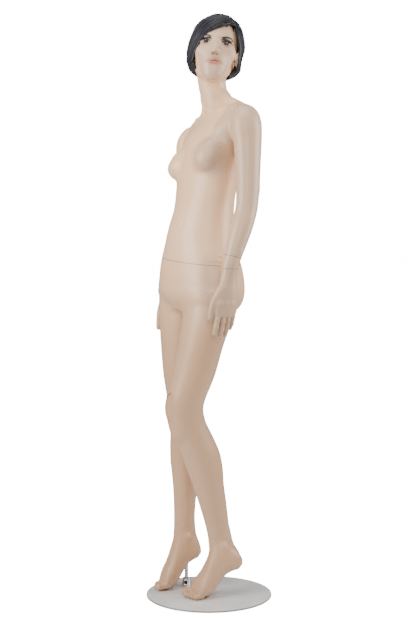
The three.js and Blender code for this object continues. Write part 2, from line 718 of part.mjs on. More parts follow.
function wigPieces() {
  const gap = TOUCH + 0.1;
  const ears = (by) => earForms(by).map(inHead);
  const capOuter = headForm(-gap - CAP_THICKNESS);
  const hairline = new THREE.Vector3(0, CAP_PLANE_TILT, 1).transformDirection(HEAD_FRAME);
  const start = new THREE.Vector3(0, 0, CAP_PLANE_HEIGHT).applyMatrix4(HEAD_FRAME);
  const cap = capOuter
    .subtract(headForm(-gap))
    .trimByPlane(hairline.toArray(), hairline.dot(start))
    .subtract(join(ears(-gap)));
  add("wig_cap", cap, NET);

  const outer = inHead(loft(HAIR, 16, 7));
  const loose = loft(inset(HAIR, HAIR_THICKNESS), 16, 7).trimByPlane([0, 0, -1], HAIR_LOOSE_BELOW);
  const slid = moved(loose, new THREE.Matrix4().makeTranslation(0, 0, -HAIR_THICKNESS));
  const face = box([-FACE_HALF, -150, -150], [FACE_HALF, FACE_BACK, FACE_TOP]);
  const neck = loft(inset(NECK, -2 * gap), 14, 4);
  const clear = [headForm(-2 * gap - CAP_THICKNESS), ...ears(-2 * gap), neck];
  const hollow = join([inHead(loose.add(slid).add(face)), ...clear]);
  add("wig_hair", outer.subtract(hollow), HAIR_FIBRE);

  [["left", 1], ["right", -1]].forEach(([name, side]) => {
    const turn = new THREE.Matrix4().makeRotationZ(side * LASH_TURN).setPosition(side * EYE_X, 0, EYE_Z);
    const strip = moved(box([-LASH_HALF, -100, 0], [LASH_HALF, -60, LASH_THICKNESS]), turn);
    const reach = headForm(-LASH_REACH);
    const lash = inHead(strip).intersect(reach).subtract(headForm(-gap));
    add("eyelash_" + name, lash, HAIR_FIBRE);
  });
}

const torso = join([trunk(0), ...breasts(), loft(NECK, 14, 4), headForm(0), ...faceFeatures()]);
const torsoHollow = join([trunk(SHELL_WALL), loft(inset(NECK, SHELL_WALL), 14, 4), headForm(SHELL_WALL)]);

buildBase();
lowerBody(lowerForm(), lowerHollow());
upperBody(torso, torsoHollow);
waistFittings();
buildArm("left", 1);
buildArm("right", -1);
wigPieces();

export default mannequin;
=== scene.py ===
"""A shop mannequin on a round steel base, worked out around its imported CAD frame.

The moulded skin is a field in millimetres: elliptical lofts through named rows, blended
with ellipsoids and rods. Each field is turned into quads on a numpy grid, moved onto the
field's zero, and cut flat at the seams that the frame's joints give.
"""
import json
import math

import bmesh
import bpy
import numpy as np
from bpy.props import FloatProperty, FloatVectorProperty, IntProperty, PointerProperty
from mathutils import Euler, Matrix, Vector


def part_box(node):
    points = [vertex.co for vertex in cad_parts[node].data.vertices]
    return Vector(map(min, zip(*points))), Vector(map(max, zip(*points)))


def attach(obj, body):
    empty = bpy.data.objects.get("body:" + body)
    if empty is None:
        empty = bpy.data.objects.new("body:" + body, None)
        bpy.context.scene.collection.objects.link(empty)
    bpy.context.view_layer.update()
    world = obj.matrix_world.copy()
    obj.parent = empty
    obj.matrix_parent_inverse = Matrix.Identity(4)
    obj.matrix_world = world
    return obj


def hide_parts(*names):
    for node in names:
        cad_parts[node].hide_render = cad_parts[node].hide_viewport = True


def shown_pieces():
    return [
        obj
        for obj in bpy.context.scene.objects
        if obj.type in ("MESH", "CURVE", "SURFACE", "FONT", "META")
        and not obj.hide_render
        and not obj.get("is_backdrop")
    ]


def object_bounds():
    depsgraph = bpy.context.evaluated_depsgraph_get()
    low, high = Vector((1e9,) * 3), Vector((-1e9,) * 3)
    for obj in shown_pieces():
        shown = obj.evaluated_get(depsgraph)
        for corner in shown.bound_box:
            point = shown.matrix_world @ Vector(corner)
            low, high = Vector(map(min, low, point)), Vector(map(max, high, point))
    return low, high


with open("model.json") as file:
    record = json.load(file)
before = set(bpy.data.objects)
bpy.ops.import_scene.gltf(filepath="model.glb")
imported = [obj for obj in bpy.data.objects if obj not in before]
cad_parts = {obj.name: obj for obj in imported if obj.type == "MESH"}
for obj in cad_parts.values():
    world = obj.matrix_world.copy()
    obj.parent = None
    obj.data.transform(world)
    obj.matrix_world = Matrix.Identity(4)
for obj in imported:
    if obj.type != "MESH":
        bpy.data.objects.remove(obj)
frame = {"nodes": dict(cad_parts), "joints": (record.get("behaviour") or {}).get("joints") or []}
CAD_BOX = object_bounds()
JOINTS = {joint["name"]: joint for joint in frame["joints"]}

bl_info = {
    "name": "Shop mannequin",
    "version": (1, 0, 0),
    "blender": (4, 5, 0),
    "location": "View3D > Sidebar > Mannequin",
    "description": "Builds a full body shop mannequin around its frame",
    "category": "Object",
}

MM = 0.001

# ---------------------------------------------------------------- the figure's form
# Rows of [x, y, z, side, front, back] in millimetres about the trunk's middle plane.
BODY_X = -33.0
WAIST_HEIGHT = 1032.0
SHOULDER_HEIGHT = 1460.0
WAIST_SLOPE = -0.12
SHOULDER_SLOPE = 0.16
SHOULDER_SEAM = 122.0
SHOULDER_DROP = 2 * SHOULDER_SLOPE * SHOULDER_SEAM
RIGHT_ARM_BACK = math.radians(3.5)
SEAM_GAP = 0.5
BASE_TOP = 7.5
FOOT_CLEARANCE = 2.5

TRUNK = [
    [0, -14, 882, 112, 76, 80],
    [0, -16, 925, 160, 104, 106],
    [0, -14, 975, 158, 107, 126],
    [0, -13, 1020, 148, 105, 122],
    [0, -10, 1075, 127, 102, 102],
    [0, -6, 1130, 111, 97, 94],
    [0, -1, 1190, 105, 82, 92],
    [0, 6, 1250, 111, 78, 90],
    [0, 15, 1312, 119, 79, 90],
    [0, 26, 1370, 121, 76, 88],
    [0, 38, 1420, 136, 66, 80],
    [0, 50, 1454, 142, 52, 64],
    [0, 54, 1478, 118, 42, 54],
    [0, 53, 1502, 55, 34, 48],
    [0, 48, 1526, 42, 36, 42],
]
NECK = [
    [0, 50, 1470, 46, 31, 50],
    [0, 45, 1510, 42, 34, 45],
    [1, 36, 1550, 43, 42, 42],
    [2, 28, 1595, 44, 43, 46],
    [3, 26, 1635, 45, 43, 50],
]
LEG_LEFT = [
    [61, 22, 130, 26, 34, 28],
    [60, 16, 200, 31, 36, 36],
    [59, -4, 283, 38, 40, 46],
    [57, -22, 350, 44, 45, 54],
    [54, -33, 400, 50, 52, 62],
    [51, -50, 450, 52, 54, 69],
    [48, -72, 500, 51, 53, 68],
    [46, -92, 550, 52, 57, 62],
    [48, -98, 600, 56, 59, 61],
    [60, -72, 687, 64, 66, 64],
    [71, -52, 778, 72, 70, 65],
    [79, -32, 865, 78, 75, 76],
    [82, -20, 935, 74, 76, 78],
]
LEG_RIGHT = [
    [-80, -30, 130, 26, 30, 29],
    [-80, -25, 200, 29, 28, 38],
    [-80, -22, 283, 33, 31, 42],
    [-80, -18, 350, 41, 39, 50],
    [-79, -17, 400, 49, 45, 58],
    [-79, -16, 450, 52, 47, 58],
    [-78, -16, 500, 52, 46, 52],
    [-78, -18, 560, 53, 51, 48],
    [-79, -20, 610, 57, 55, 53],
    [-82, -22, 687, 65, 63, 66],
    [-85, -18, 778, 73, 72, 72],
    [-86, -17, 865, 79, 77, 82],
    [-85, -16, 935, 76, 80, 86],
]
ARM = [
    [190, -37, 965, 19, 25, 24],
    [190, -32, 988, 20, 26, 25],
    [190, -28, 1018, 24, 27, 27],
    [190, -20, 1040, 26, 28, 28],
    [189, 2, 1096, 31, 34, 32],
    [187, 19, 1140, 33, 37, 34],
    [183, 35, 1185, 31, 35, 34],
    [178, 43, 1243, 33, 36, 36],
    [171, 48, 1308, 35, 39, 39],
    [164, 52, 1372, 38, 43, 43],
    [157, 54, 1428, 42, 46, 46],
    [151, 55, 1466, 36, 39, 41],
    [146, 55, 1488, 22, 25, 27],
    [144, 55, 1497, 8, 8, 8],
]
PALM = [
    [187, -42, 868, 9, 32, 30],
    [188, -41, 884, 13, 39, 36],
    [189, -39, 910, 15, 41, 38],
    [190, -37, 942, 17, 37, 34],
    [190, -34, 966, 18, 30, 28],
    [190, -31, 988, 20, 26, 25],
    [190, -27, 1018, 24, 27, 27],
    [190, -20, 1040, 26, 28, 28],
    [189, -5, 1078, 29, 32, 30],
]
# Each finger: root y, tip y, tip height, radius.
FINGERS = [
    [-67, -76, 811, 8.4],
    [-49, -56, 800, 8.8],
    [-31, -38, 807, 8.4],
    [-14, -20, 826, 7.4],
]
FINGER_ROOT = 888.0
# Foot rows: share of its length, sole height, instep height, half width.
FOOT = [
    [0.0, 98, 122, 10],
    [0.05, 88, 146, 21],
    [0.14, 80, 160, 27],
    [0.27, 68, 172, 30],
    [0.36, 48, 180, 31],
    [0.45, 24, 172, 32],
    [0.52, 6, 150, 34],
    [0.6, 0, 120, 37],
    [0.68, 0, 90, 40],
    [0.78, 0, 62, 42],
    [0.83, 0, 44, 37],
    [0.86, 2, 34, 30],
]
# Toes from the inner side: across the foot, tip as a share of length, radius.
TOES = [
    [-25, 1.0, 11.5],
    [-7, 0.985, 7.6],
    [7, 0.955, 7.2],
    [19.5, 0.92, 6.8],
    [31, 0.88, 6.6],
]
FEET = {
    "left": {"heel": (95, 75), "heading": 16, "length": 180, "rise": 0.9, "inner": -1},
    "right": {"heel": (-64, 25), "heading": 10, "length": 155, "rise": 0.98, "inner": 1},
}
HEAD_CENTRE = (8.0, 36.0, 1668.0)
HEAD_YAW = math.radians(60)
HEAD_TILT = math.radians(8)
HEAD_ROLL = math.radians(7)
HEAD = [
    [0, -50, -102, 18, 18, 26],
    [0, -43, -91, 31, 34, 44],
    [0, -28, -74, 45, 55, 56],
    [0, -14, -48, 56, 72, 72],
    [0, -2, -18, 65, 83, 82],
    [0, 0, 12, 69, 86, 89],
    [0, 2, 42, 71, 84, 91],
    [0, 4, 72, 64, 72, 80],
    [0, 6, 92, 46, 52, 58],
    [0, 8, 104, 18, 22, 26],
]
HAIR = [
    [2, 6, -69, 60, 82, 66],
    [4, 6, -56, 76, 86, 82],
    [5, 4, -33, 86, 86, 96],
    [5, 2, 5, 88, 90, 103],
    [6, 2, 42, 82, 92, 103],
    [7, 4, 76, 72, 82, 92],
    [8, 6, 100, 50, 58, 66],
    [9, 8, 113, 20, 24, 28],
]


# ---------------------------------------------------------------- settings
class FigureSettings(bpy.types.PropertyGroup):
    body_step: FloatProperty(
        name="Body step", description="Grid step of the torso and legs, in metres",
        default=0.0038, min=0.002, max=0.02, unit="LENGTH")
    fine_step: FloatProperty(
        name="Hand and head step", description="Grid step of the hands and the head",
        default=0.0019, min=0.001, max=0.01, unit="LENGTH")
    skin_colour: FloatVectorProperty(
        name="Skin", description="Sprayed skin paint", subtype="COLOR", size=3,
        default=(0.78, 0.50, 0.295), min=0, max=1)
    lip_colour: FloatVectorProperty(
        name="Lips", description="Lip paint", subtype="COLOR", size=3,
        default=(0.47, 0.13, 0.09), min=0, max=1)


class WigSettings(bpy.types.PropertyGroup):
    locks: IntProperty(
        name="Locks", description="How many locks of hair lie over the wig", default=420,
        min=50, max=1500)
    hair_colour: FloatVectorProperty(
        name="Hair", description="Hair fibre", subtype="COLOR", size=3,
        default=(0.006, 0.006, 0.008), min=0, max=1)


class BaseSettings(bpy.types.PropertyGroup):
    steel_colour: FloatVectorProperty(
        name="Steel", description="Brushed steel plate", subtype="COLOR", size=3,
        default=(0.95, 0.95, 0.94), min=0, max=1)


class StageSettings(bpy.types.PropertyGroup):
    camera_distance: FloatProperty(
        name="Camera distance", description="Over the floor, from the base's centre",
        default=3.52, min=1, max=20, unit="LENGTH")
    camera_height: FloatProperty(
        name="Camera height", description="Over the floor", default=1.02, unit="LENGTH")
    camera_azimuth: FloatProperty(
        name="Camera azimuth", description="Round the figure, from its front",
        default=math.radians(57), subtype="ANGLE", unit="ROTATION")
    camera_pitch: FloatProperty(
        name="Camera pitch", description="Downwards", default=math.radians(2.44),
        subtype="ANGLE", unit="ROTATION")
    surround: FloatProperty(
        name="Surround", description="Light from all round", default=0.33, min=0, max=5)
    lens: FloatProperty(name="Lens", description="Focal length in millimetres", default=66.2)


# ---------------------------------------------------------------- fields
def dense(rows):
    """The rows joined by a Catmull-Rom curve, as columns x, y, z, side, front, back."""
    points = np.array(rows, float)
    ends = [2 * points[0] - points[1], *points, 2 * points[-1] - points[-2]]
    knots = np.array(ends)
    t = np.linspace(0, 1, 16, endpoint=False)[:, None]
    pieces = []
    for i in range(1, len(knots) - 2):
        a, b, c, d = knots[i - 1: i + 3]
        pieces.append(
            0.5 * (2 * b + (c - a) * t + (2 * a - 5 * b + 4 * c - d) * t * t
                   + (3 * b - a - 3 * c + d) * t ** 3))
    curve = np.vstack([*pieces, points[-1]])
    return curve[np.argsort(curve[:, 2])].T


class Loft:
    """Ellipses stacked along z. The field is the offset from the centre line, times one
    less the inverse of the ellipse's own measure, and it is cut flat at both ends."""

    def __init__(self, rows, grow=0.0, ends=True):
        self.x, self.y, self.z, *sizes = dense(rows)
        self.side, self.front, self.back = [np.maximum(s + grow, 1) for s in sizes]
        self.ends = ends

    def __call__(self, p):
        z = p[:, 2]
        x = p[:, 0] - np.interp(z, self.z, self.x)
        y = p[:, 1] - np.interp(z, self.z, self.y)
        front = np.interp(z, self.z, self.front)
        depth = np.where(y < 0, front, np.interp(z, self.z, self.back))
        measure = np.sqrt((x / np.interp(z, self.z, self.side)) ** 2 + (y / depth) ** 2) + 1e-6
        d = np.sqrt(x * x + y * y + 1e-6) * (1 - 1 / measure)
        if self.ends:
            d = np.maximum(d, np.maximum(self.z[0] - z, z - self.z[-1]))
        return d


def smooth_join(a, b, k):
    """The smaller of two fields, rounded over a width k where they are close."""
    h = np.clip(0.5 + 0.5 * (b - a) / k, 0, 1)
    return b + (a - b) * h - k * h * (1 - h)


def ellipsoid(p, centre, radii, turn=None):
    q = p - np.array(centre, float)
    if turn is not None:
        q = q @ turn
    r = np.array(radii, float)
    near = np.linalg.norm(q / r, axis=1) + 1e-9
    return near * (near - 1) / (np.linalg.norm(q / r ** 2, axis=1) + 1e-9)


def rod(p, start, end, r_start, r_end):
    """Distance from a segment, less a radius that changes evenly along it."""
    a = np.array(start, float)
    axis = np.array(end, float) - a
    t = np.clip((p - a) @ axis / (axis @ axis), 0, 1)
    return np.linalg.norm(p - a - t[:, None] * axis, axis=1) - (r_start + (r_end - r_start) * t)


class Form:
    """A base field with features joined to it or taken from it, each only near itself."""

    def __init__(self, base):
        self.base = base
        self.features = []

    def feature(self, low, high, shape, k, sign):
        margin = 18 + k
        low = np.array(low, float) - margin
        high = np.array(high, float) + margin
        self.features.append((low, high, shape, k, sign))

    def egg(self, centre, radii, k=8.0, turn=None, sign=1):
        reach = max(radii)
        c = np.array(centre, float)
        self.feature(c - reach, c + reach, lambda p: ellipsoid(p, c, radii, turn), k, sign)

    def bone(self, start, end, r_start, r_end=None, k=8.0, sign=1):
        last = r_start if r_end is None else r_end
        ends = np.array([start, end], float)
        reach = max(r_start, last)
        self.feature(ends.min(0) - reach, ends.max(0) + reach,
                     lambda p: rod(p, start, end, r_start, last), k, sign)

    def __call__(self, p):
        d = self.base(p)
        for low, high, shape, k, sign in self.features:
            near = np.all((p > low) & (p < high), axis=1)
            if not near.any():
                continue
            part = shape(p[near])
            if sign > 0:
                d[near] = smooth_join(d[near], part, k)
            else:
                d[near] = -smooth_join(-d[near], part, k)
        return d


def moved_field(field, matrix):
    """The field carried to where the matrix puts it."""
    back = np.array(matrix.inverted(), float)
    return lambda p: field(p @ back[:3, :3].T + back[:3, 3])


def joined(fields, k):
    def field(p):
        d = fields[0](p)
        for other in fields[1:]:
            d = smooth_join(d, other(p), k)
        return d
    return field


# ---------------------------------------------------------------- surfaces from fields
BLOCK = 6


def sampled(field, axes):
    """The field on the grid, worked out point by point only in blocks near its zero."""
    shape = tuple(len(a) for a in axes)
    middles = []
    halves = []
    for axis in axes:
        starts = np.arange(0, len(axis), BLOCK)
        lasts = np.minimum(starts + BLOCK - 1, len(axis) - 1)
        middles.append((axis[starts] + axis[lasts]) / 2)
        halves.append((axis[lasts] - axis[starts]).max() / 2)
    mesh = np.stack(np.meshgrid(*middles, indexing="ij"), -1).reshape(-1, 3)
    coarse = field(mesh).reshape([len(m) for m in middles])
    near = np.abs(coarse) < 1.7 * math.sqrt(sum(h * h for h in halves)) + 3
    spread = coarse
    for n in range(3):
        spread = spread.repeat(BLOCK, n)
        near = near.repeat(BLOCK, n)
    values = spread[:shape[0], :shape[1], :shape[2]].copy()
    i, j, k = np.nonzero(near[:shape[0], :shape[1], :shape[2]])
    values[i, j, k] = field(np.stack([axes[0][i], axes[1][j], axes[2][k]], -1))
    return values


CORNERS = np.array([[c & 1, c >> 1 & 1, c >> 2 & 1] for c in range(8)])
EDGES = [(a, b) for a in range(8) for b in range(a + 1, 8)
         if np.abs(CORNERS[a] - CORNERS[b]).sum() == 1]


def surface(field, low, high, step, rounds=2):
    """Quads over the field's zero: one vertex for each grid cell that the surface
    crosses, at the mean of its edge crossings, then moved along the slope to the zero."""
    steps = step if isinstance(step, (tuple, list)) else (step,) * 3
    axes = [np.arange(low[n], high[n] + steps[n], steps[n], dtype=float) for n in range(3)]
    values = sampled(field, axes)
    inside = values < 0
    count = sum(inside[c[0]:inside.shape[0] - 1 + c[0], c[1]:inside.shape[1] - 1 + c[1],
                       c[2]:inside.shape[2] - 1 + c[2]].astype(np.int8) for c in CORNERS)
    cells = np.stack(np.nonzero((count > 0) & (count < 8)), -1)
    at = [cells + c for c in CORNERS]
    corner = np.stack([values[a[:, 0], a[:, 1], a[:, 2]] for a in at], -1)
    place = [np.stack([axes[n][a[:, n]] for n in range(3)], -1) for a in at]
    total = np.zeros((len(cells), 3))
    hits = np.zeros(len(cells))
    for a, b in EDGES:
        cross = (corner[:, a] < 0) != (corner[:, b] < 0)
        gap = corner[:, a] - corner[:, b]
        t = np.where(cross, corner[:, a] / np.where(cross, gap, 1), 0)[:, None]
        total += np.where(cross[:, None], place[a] + (place[b] - place[a]) * t, 0)
        hits += cross
    points = total / hits[:, None]
    index = np.full(inside.shape, -1, np.int64)
    index[cells[:, 0], cells[:, 1], cells[:, 2]] = np.arange(len(cells))
    quads = []
    for n in range(3):
        u, v = (n + 1) % 3, (n + 2) % 3
        ahead = np.take(inside, np.arange(1, inside.shape[n]), n)
        here = np.take(inside, np.arange(inside.shape[n] - 1), n)
        e = np.stack(np.nonzero(ahead != here), -1)
        e = e[(e[:, u] > 0) & (e[:, v] > 0)]
        ring = []
        for du, dv in ((1, 1), (0, 1), (0, 0), (1, 0)):
            c = e.copy()
            c[:, u] -= du
            c[:, v] -= dv
            ring.append(index[c[:, 0], c[:, 1], c[:, 2]])
        quad = np.stack(ring, -1)
        solid_here = inside[e[:, 0], e[:, 1], e[:, 2]]
        quads.append(np.where(solid_here[:, None], quad, quad[:, ::-1]))
    faces = np.vstack(quads)
    return onto(field, points, rounds, max(steps)), faces


def slope(field, p, h=0.25):
    """The field's gradient, from values a little to each side."""
    parts = []
    for n in range(3):
        offset = np.zeros(3)
        offset[n] = h
        parts.append((field(p + offset) - field(p - offset)) / (2 * h))
    return np.stack(parts, -1)


def onto(field, points, rounds, most):
    """Points moved along the slope to the field's zero, by at most a grid step."""
    p = points.copy()
    for _ in range(rounds):
        g = slope(field, p)
        move = field(p)[:, None] * g / np.maximum((g * g).sum(1), 0.05)[:, None]
        length = np.linalg.norm(move, axis=1)[:, None]
        p -= move * np.minimum(1, most / np.maximum(length, 1e-9))
    return p


def mesh_object(name, points, faces, material):
    """A smooth shaded mesh object from points in metres and faces of equal length."""
    mesh = bpy.data.meshes.new(name)
    faces = np.asarray(faces)
    mesh.vertices.add(len(points))
    mesh.vertices.foreach_set("co", np.asarray(points, np.float32).ravel())
    mesh.loops.add(faces.size)
    mesh.loops.foreach_set("vertex_index", faces.ravel().astype(np.int32))
    mesh.polygons.add(len(faces))
    mesh.polygons.foreach_set("loop_start", np.arange(len(faces), dtype=np.int32) * faces.shape[1])
    mesh.update(calc_edges=True)
    mesh.validate()
    mesh.polygons.foreach_set("use_smooth", np.ones(len(mesh.polygons), bool))
    mesh.materials.append(material)
    made = bpy.data.objects.new(name, mesh)
    bpy.context.scene.collection.objects.link(made)
    return made


def world_mm(points):
    return (np.asarray(points) + [BODY_X, 0, 0]) * MM


# ---------------------------------------------------------------- finishing a skin
def refined(made, field, choose):
    """Cuts the chosen faces in four and moves the new vertices onto the field's zero."""
    bm = bmesh.new()
    bm.from_mesh(made.data)
    middles = np.array([f.calc_center_median() for f in bm.faces])
    chosen = choose(middles / MM - [BODY_X, 0, 0])
    bm.faces.ensure_lookup_table()
    edges = {e for i in np.nonzero(chosen)[0] for e in bm.faces[i].edges}
    before = len(bm.verts)
    bmesh.ops.subdivide_edges(bm, edges=list(edges), cuts=1, use_grid_fill=True)
    bm.verts.index_update()
    bm.to_mesh(made.data)
    bm.free()
    place = np.empty(len(made.data.vertices) * 3, np.float32)
    made.data.vertices.foreach_get("co", place)
    place = place.reshape(-1, 3).astype(float)
    place[before:] = world_mm(onto(field, place[before:] / MM - [BODY_X, 0, 0], 2, 2.0))
    made.data.vertices.foreach_set("co", place.astype(np.float32).ravel())
    made.data.update()
    return made


def cut_at(made, field, point, normal, wanted=None, wall=4.0, depth=12.0):
    """Cuts the mesh flat at a seam and closes it. With a wall, the closed face is a flat
    rim of that width round a pocket: the rim's inner edge is the outer one moved down the
    field's slope within the plane."""
    bm = bmesh.new()
    bm.from_mesh(made.data)
    verts = [v for v in bm.verts if wanted is None or wanted(v.co)]
    inside = set(verts)
    edges = [e for e in bm.edges if e.verts[0] in inside and e.verts[1] in inside]
    faces = [f for f in bm.faces if all(v in inside for v in f.verts)]
    plane = point - normal * (SEAM_GAP / 2 * MM)
    bmesh.ops.bisect_plane(bm, geom=verts + edges + faces, dist=1e-6, plane_co=plane,
                           plane_no=normal, clear_outer=True)
    rim = [e for e in bm.edges if e.is_boundary]
    if not rim:
        raise RuntimeError(f"{made.name}: the seam misses the skin")
    for edge in rim:
        edge.smooth = False
    for face in bmesh.ops.edgeloop_fill(bm, edges=rim)["faces"]:
        if face.normal.dot(normal) < 0:
            face.normal_flip()
        face.smooth = False
        if wall:
            loop = list(face.verts)
            bm.faces.remove(face)
            sunk_rim(bm, field, loop, normal, wall, depth)
    bm.to_mesh(made.data)
    bm.free()
    return made


def sunk_rim(bm, field, loop, normal, wall, depth):
    """A flat rim inside the loop, a wall going down from it and a flat floor."""
    across = np.array(normal)
    outer = np.array([v.co for v in loop])
    way = slope(field, outer / MM - [BODY_X, 0, 0], 0.6)
    way -= np.outer(way @ across, across)
    for _ in range(4):
        way = (np.roll(way, 1, 0) + way + np.roll(way, -1, 0)) / 3
    way /= np.linalg.norm(way, axis=1)[:, None]
    inner = outer - way * wall * MM
    rings = [loop]
    for ring in (inner, inner - across * depth * MM):
        rings.append([bm.verts.new(p) for p in ring])
    count = len(loop)
    for high, low in zip(rings, rings[1:]):
        for i in range(count):
            j = (i + 1) % count
            face = bm.faces.new((high[i], high[j], low[j], low[i]))
            face.smooth = high is not loop
    for i in range(count):
        for ring in rings:
            edge = bm.edges.get((ring[i], ring[(i + 1) % count]))
            if edge:
                edge.smooth = False
    bm.faces.new(rings[-1]).smooth = False
    bm.normal_update()


def bored(made, start, end, radius):
    """A round hole from start to end, cut with a temporary cylinder."""
    cutter = turned("bore_cutter", [(0, 0), (radius, 0), (radius, 1), (0, 1)], start, end, 48)
    tool = made.modifiers.new("bore", "BOOLEAN")
    tool.object = cutter
    tool.solver = "EXACT"
    graph = bpy.context.evaluated_depsgraph_get()
    mesh = bpy.data.meshes.new_from_object(made.evaluated_get(graph))
    made.modifiers.clear()
    made.data = mesh
    bpy.data.objects.remove(cutter)
    return made


def turned(name, profile, start, end, sides=192, material=None):
    """A lathe form: the profile's (radius in metres, share of the way from start to end),
    carried round the axis. Points on the axis are merged to one pole."""
    start, end = Vector(start), Vector(end)
    frame_of = (end - start).to_track_quat("Z", "Y").to_matrix()
    radius, share = np.array(profile, float).T
    angle = np.linspace(0, 2 * math.pi, sides, endpoint=False)
    ring = np.stack([np.outer(radius, np.cos(angle)), np.outer(radius, np.sin(angle)),
                     np.outer(share * (end - start).length, np.ones(sides))], -1)
    points = ring.reshape(-1, 3) @ np.array(frame_of).T + np.array(start)
    i, j = np.meshgrid(np.arange(len(profile) - 1), np.arange(sides), indexing="ij")
    k = (j + 1) % sides
    quads = np.stack([i * sides + j, i * sides + k, (i + 1) * sides + k, (i + 1) * sides + j], -1)
    made = mesh_object(name, points, quads.reshape(-1, 4), material)
    bm = bmesh.new()
    bm.from_mesh(made.data)
    bmesh.ops.remove_doubles(bm, verts=bm.verts, dist=1e-7)
    bmesh.ops.recalc_face_normals(bm, faces=bm.faces)
    for edge in bm.edges:
        edge.smooth = len(edge.link_faces) == 2 and edge.calc_face_angle() < math.radians(32)
    bm.to_mesh(made.data)
    bm.free()
    return made


# ---------------------------------------------------------------- shader groups
class Graph:
    """Adds nodes to a tree and links values into them by socket name or number."""

    def __init__(self, tree):
        self.tree = tree

    def node(self, kind, settings=None, **values):
        made = self.tree.nodes.new(kind)
        for key, value in (settings or {}).items():
            setattr(made, key, value)
        for key, value in values.items():
            self.put(made, key.replace("_", " "), value)
        return made

    def put(self, made, key, value):
        socket = made.inputs[key]
        if isinstance(value, bpy.types.NodeSocket):
            self.tree.links.new(value, socket)
        else:
            socket.default_value = value

    def math(self, operation, *values, clamp=False):
        made = self.node("ShaderNodeMath", {"operation": operation, "use_clamp": clamp})
        for n, value in enumerate(values):
            self.put(made, n, value)
        return made.outputs[0]

    def mix(self, share, a, b):
        made = self.node("ShaderNodeMix", {"data_type": "RGBA"})
        self.put(made, 0, share)
        self.put(made, 6, a)
        self.put(made, 7, b)
        return made.outputs[2]

    def ranged(self, value, low, high, to_low, to_high, smooth=False):
        kind = "SMOOTHSTEP" if smooth else "LINEAR"
        made = self.node("ShaderNodeMapRange", {"interpolation_type": kind})
        for n, v in enumerate((value, low, high, to_low, to_high)):
            self.put(made, n, v)
        return made.outputs[0]


def group(name, inputs, outputs, build):
    """A shader node group with named sockets, made once and kept by its name."""
    if name in bpy.data.node_groups:
        return bpy.data.node_groups[name]
    tree = bpy.data.node_groups.new(name, "ShaderNodeTree")
    for label, kind, value in inputs:
        socket = tree.interface.new_socket(label, in_out="INPUT", socket_type=kind)
        if value is not None:
            socket.default_value = value
    for label, kind in outputs:
        tree.interface.new_socket(label, in_out="OUTPUT", socket_type=kind)
    g = Graph(tree)
    source = tree.nodes.new("NodeGroupInput")
    end = tree.nodes.new("NodeGroupOutput")
    for label, value in build(g, source.outputs).items():
        tree.links.new(value, end.inputs[label])
    return tree


FLOAT, VECTOR = "NodeSocketFloat", "NodeSocketVector"


def mottle_group():
    """Slow and fine noise over the surface: a tint mask, a wear mask and a height."""
    def build(g, v):
        slow = g.node("ShaderNodeTexNoise", Vector=v["Position"], Scale=v["Slow scale"], Detail=3.0)
        fine = g.node("ShaderNodeTexNoise", Vector=v["Position"], Scale=v["Fine scale"], Detail=4.0)
        tint = g.ranged(slow.outputs["Fac"], 0.3, 0.7, 0.0, 1.0, True)
        height = g.math("MULTIPLY", fine.outputs["Fac"], v["Height"])
        return {"Tint": tint, "Speckle": g.ranged(fine.outputs["Fac"], 0.35, 0.65, 0.0, 1.0),
                "Height": height}
    return group("Mottle", [("Position", VECTOR, None), ("Slow scale", FLOAT, 9.0),
                            ("Fine scale", FLOAT, 700.0), ("Height", FLOAT, 1.0)],
                 [("Tint", FLOAT), ("Speckle", FLOAT), ("Height", FLOAT)], build)


def streak_group():
    """Noise pulled out along one direction, as brushing leaves it."""
    def build(g, v):
        pulled = g.node("ShaderNodeVectorMath", {"operation": "MULTIPLY"})
        g.put(pulled, 0, v["Position"])
        g.put(pulled, 1, v["Pull"])
        noise = g.node("ShaderNodeTexNoise", Vector=pulled.outputs[0], Scale=1.0, Detail=5.0,
                       Roughness=0.65)
        wide = g.node("ShaderNodeTexNoise", Vector=pulled.outputs[0], Scale=0.16, Detail=2.0)
        mixed = g.math("ADD", g.math("MULTIPLY", noise.outputs["Fac"], 0.6),
                       g.math("MULTIPLY", wide.outputs["Fac"], 0.4))
        return {"Streak": g.ranged(mixed, 0.36, 0.64, 0.0, 1.0)}
    return group("Brushing", [("Position", VECTOR, None), ("Pull", VECTOR, (40, 900, 900))],
                 [("Streak", FLOAT)], build)


def spot_group():
    """One inside an ellipse round a centre, zero outside, with a soft edge."""
    def build(g, v):
        local = g.node("ShaderNodeMapping", {"vector_type": "TEXTURE"})
        for label in ("Location", "Rotation", "Scale"):
            g.put(local, label, v[label])
        g.put(local, "Vector", v["Position"])
        length = g.node("ShaderNodeVectorMath", {"operation": "LENGTH"})
        g.put(length, 0, local.outputs[0])
        start = g.math("SUBTRACT", 1.0, v["Edge"])
        return {"Mask": g.ranged(length.outputs["Value"], start, 1.0, 1.0, 0.0, True)}
    return group("Spot", [("Position", VECTOR, None), ("Location", VECTOR, (0, 0, 0)),
                          ("Rotation", VECTOR, (0, 0, 0)), ("Scale", VECTOR, (1, 1, 1)),
                          ("Edge", FLOAT, 0.3)], [("Mask", FLOAT)], build)


def placed(g, tree, **values):
    made = g.node("ShaderNodeGroup", {"node_tree": tree})
    for key, value in values.items():
        g.put(made, key.replace("_", " "), value)
    return made


def material(name, **values):
    """A Principled material, its graph, shader and object position."""
    made = bpy.data.materials.new(name)
    made.use_nodes = True
    g = Graph(made.node_tree)
    shader = made.node_tree.nodes["Principled BSDF"]
    for key, value in values.items():
        g.put(shader, key.replace("_", " "), value)
    position = g.node("ShaderNodeTexCoord").outputs["Object"]
    return made, g, shader, position


def bump(g, shader, height, strength, distance):
    made = g.node("ShaderNodeBump", Height=height, Strength=strength, Distance=distance)
    g.put(shader, "Normal", made.outputs[0])


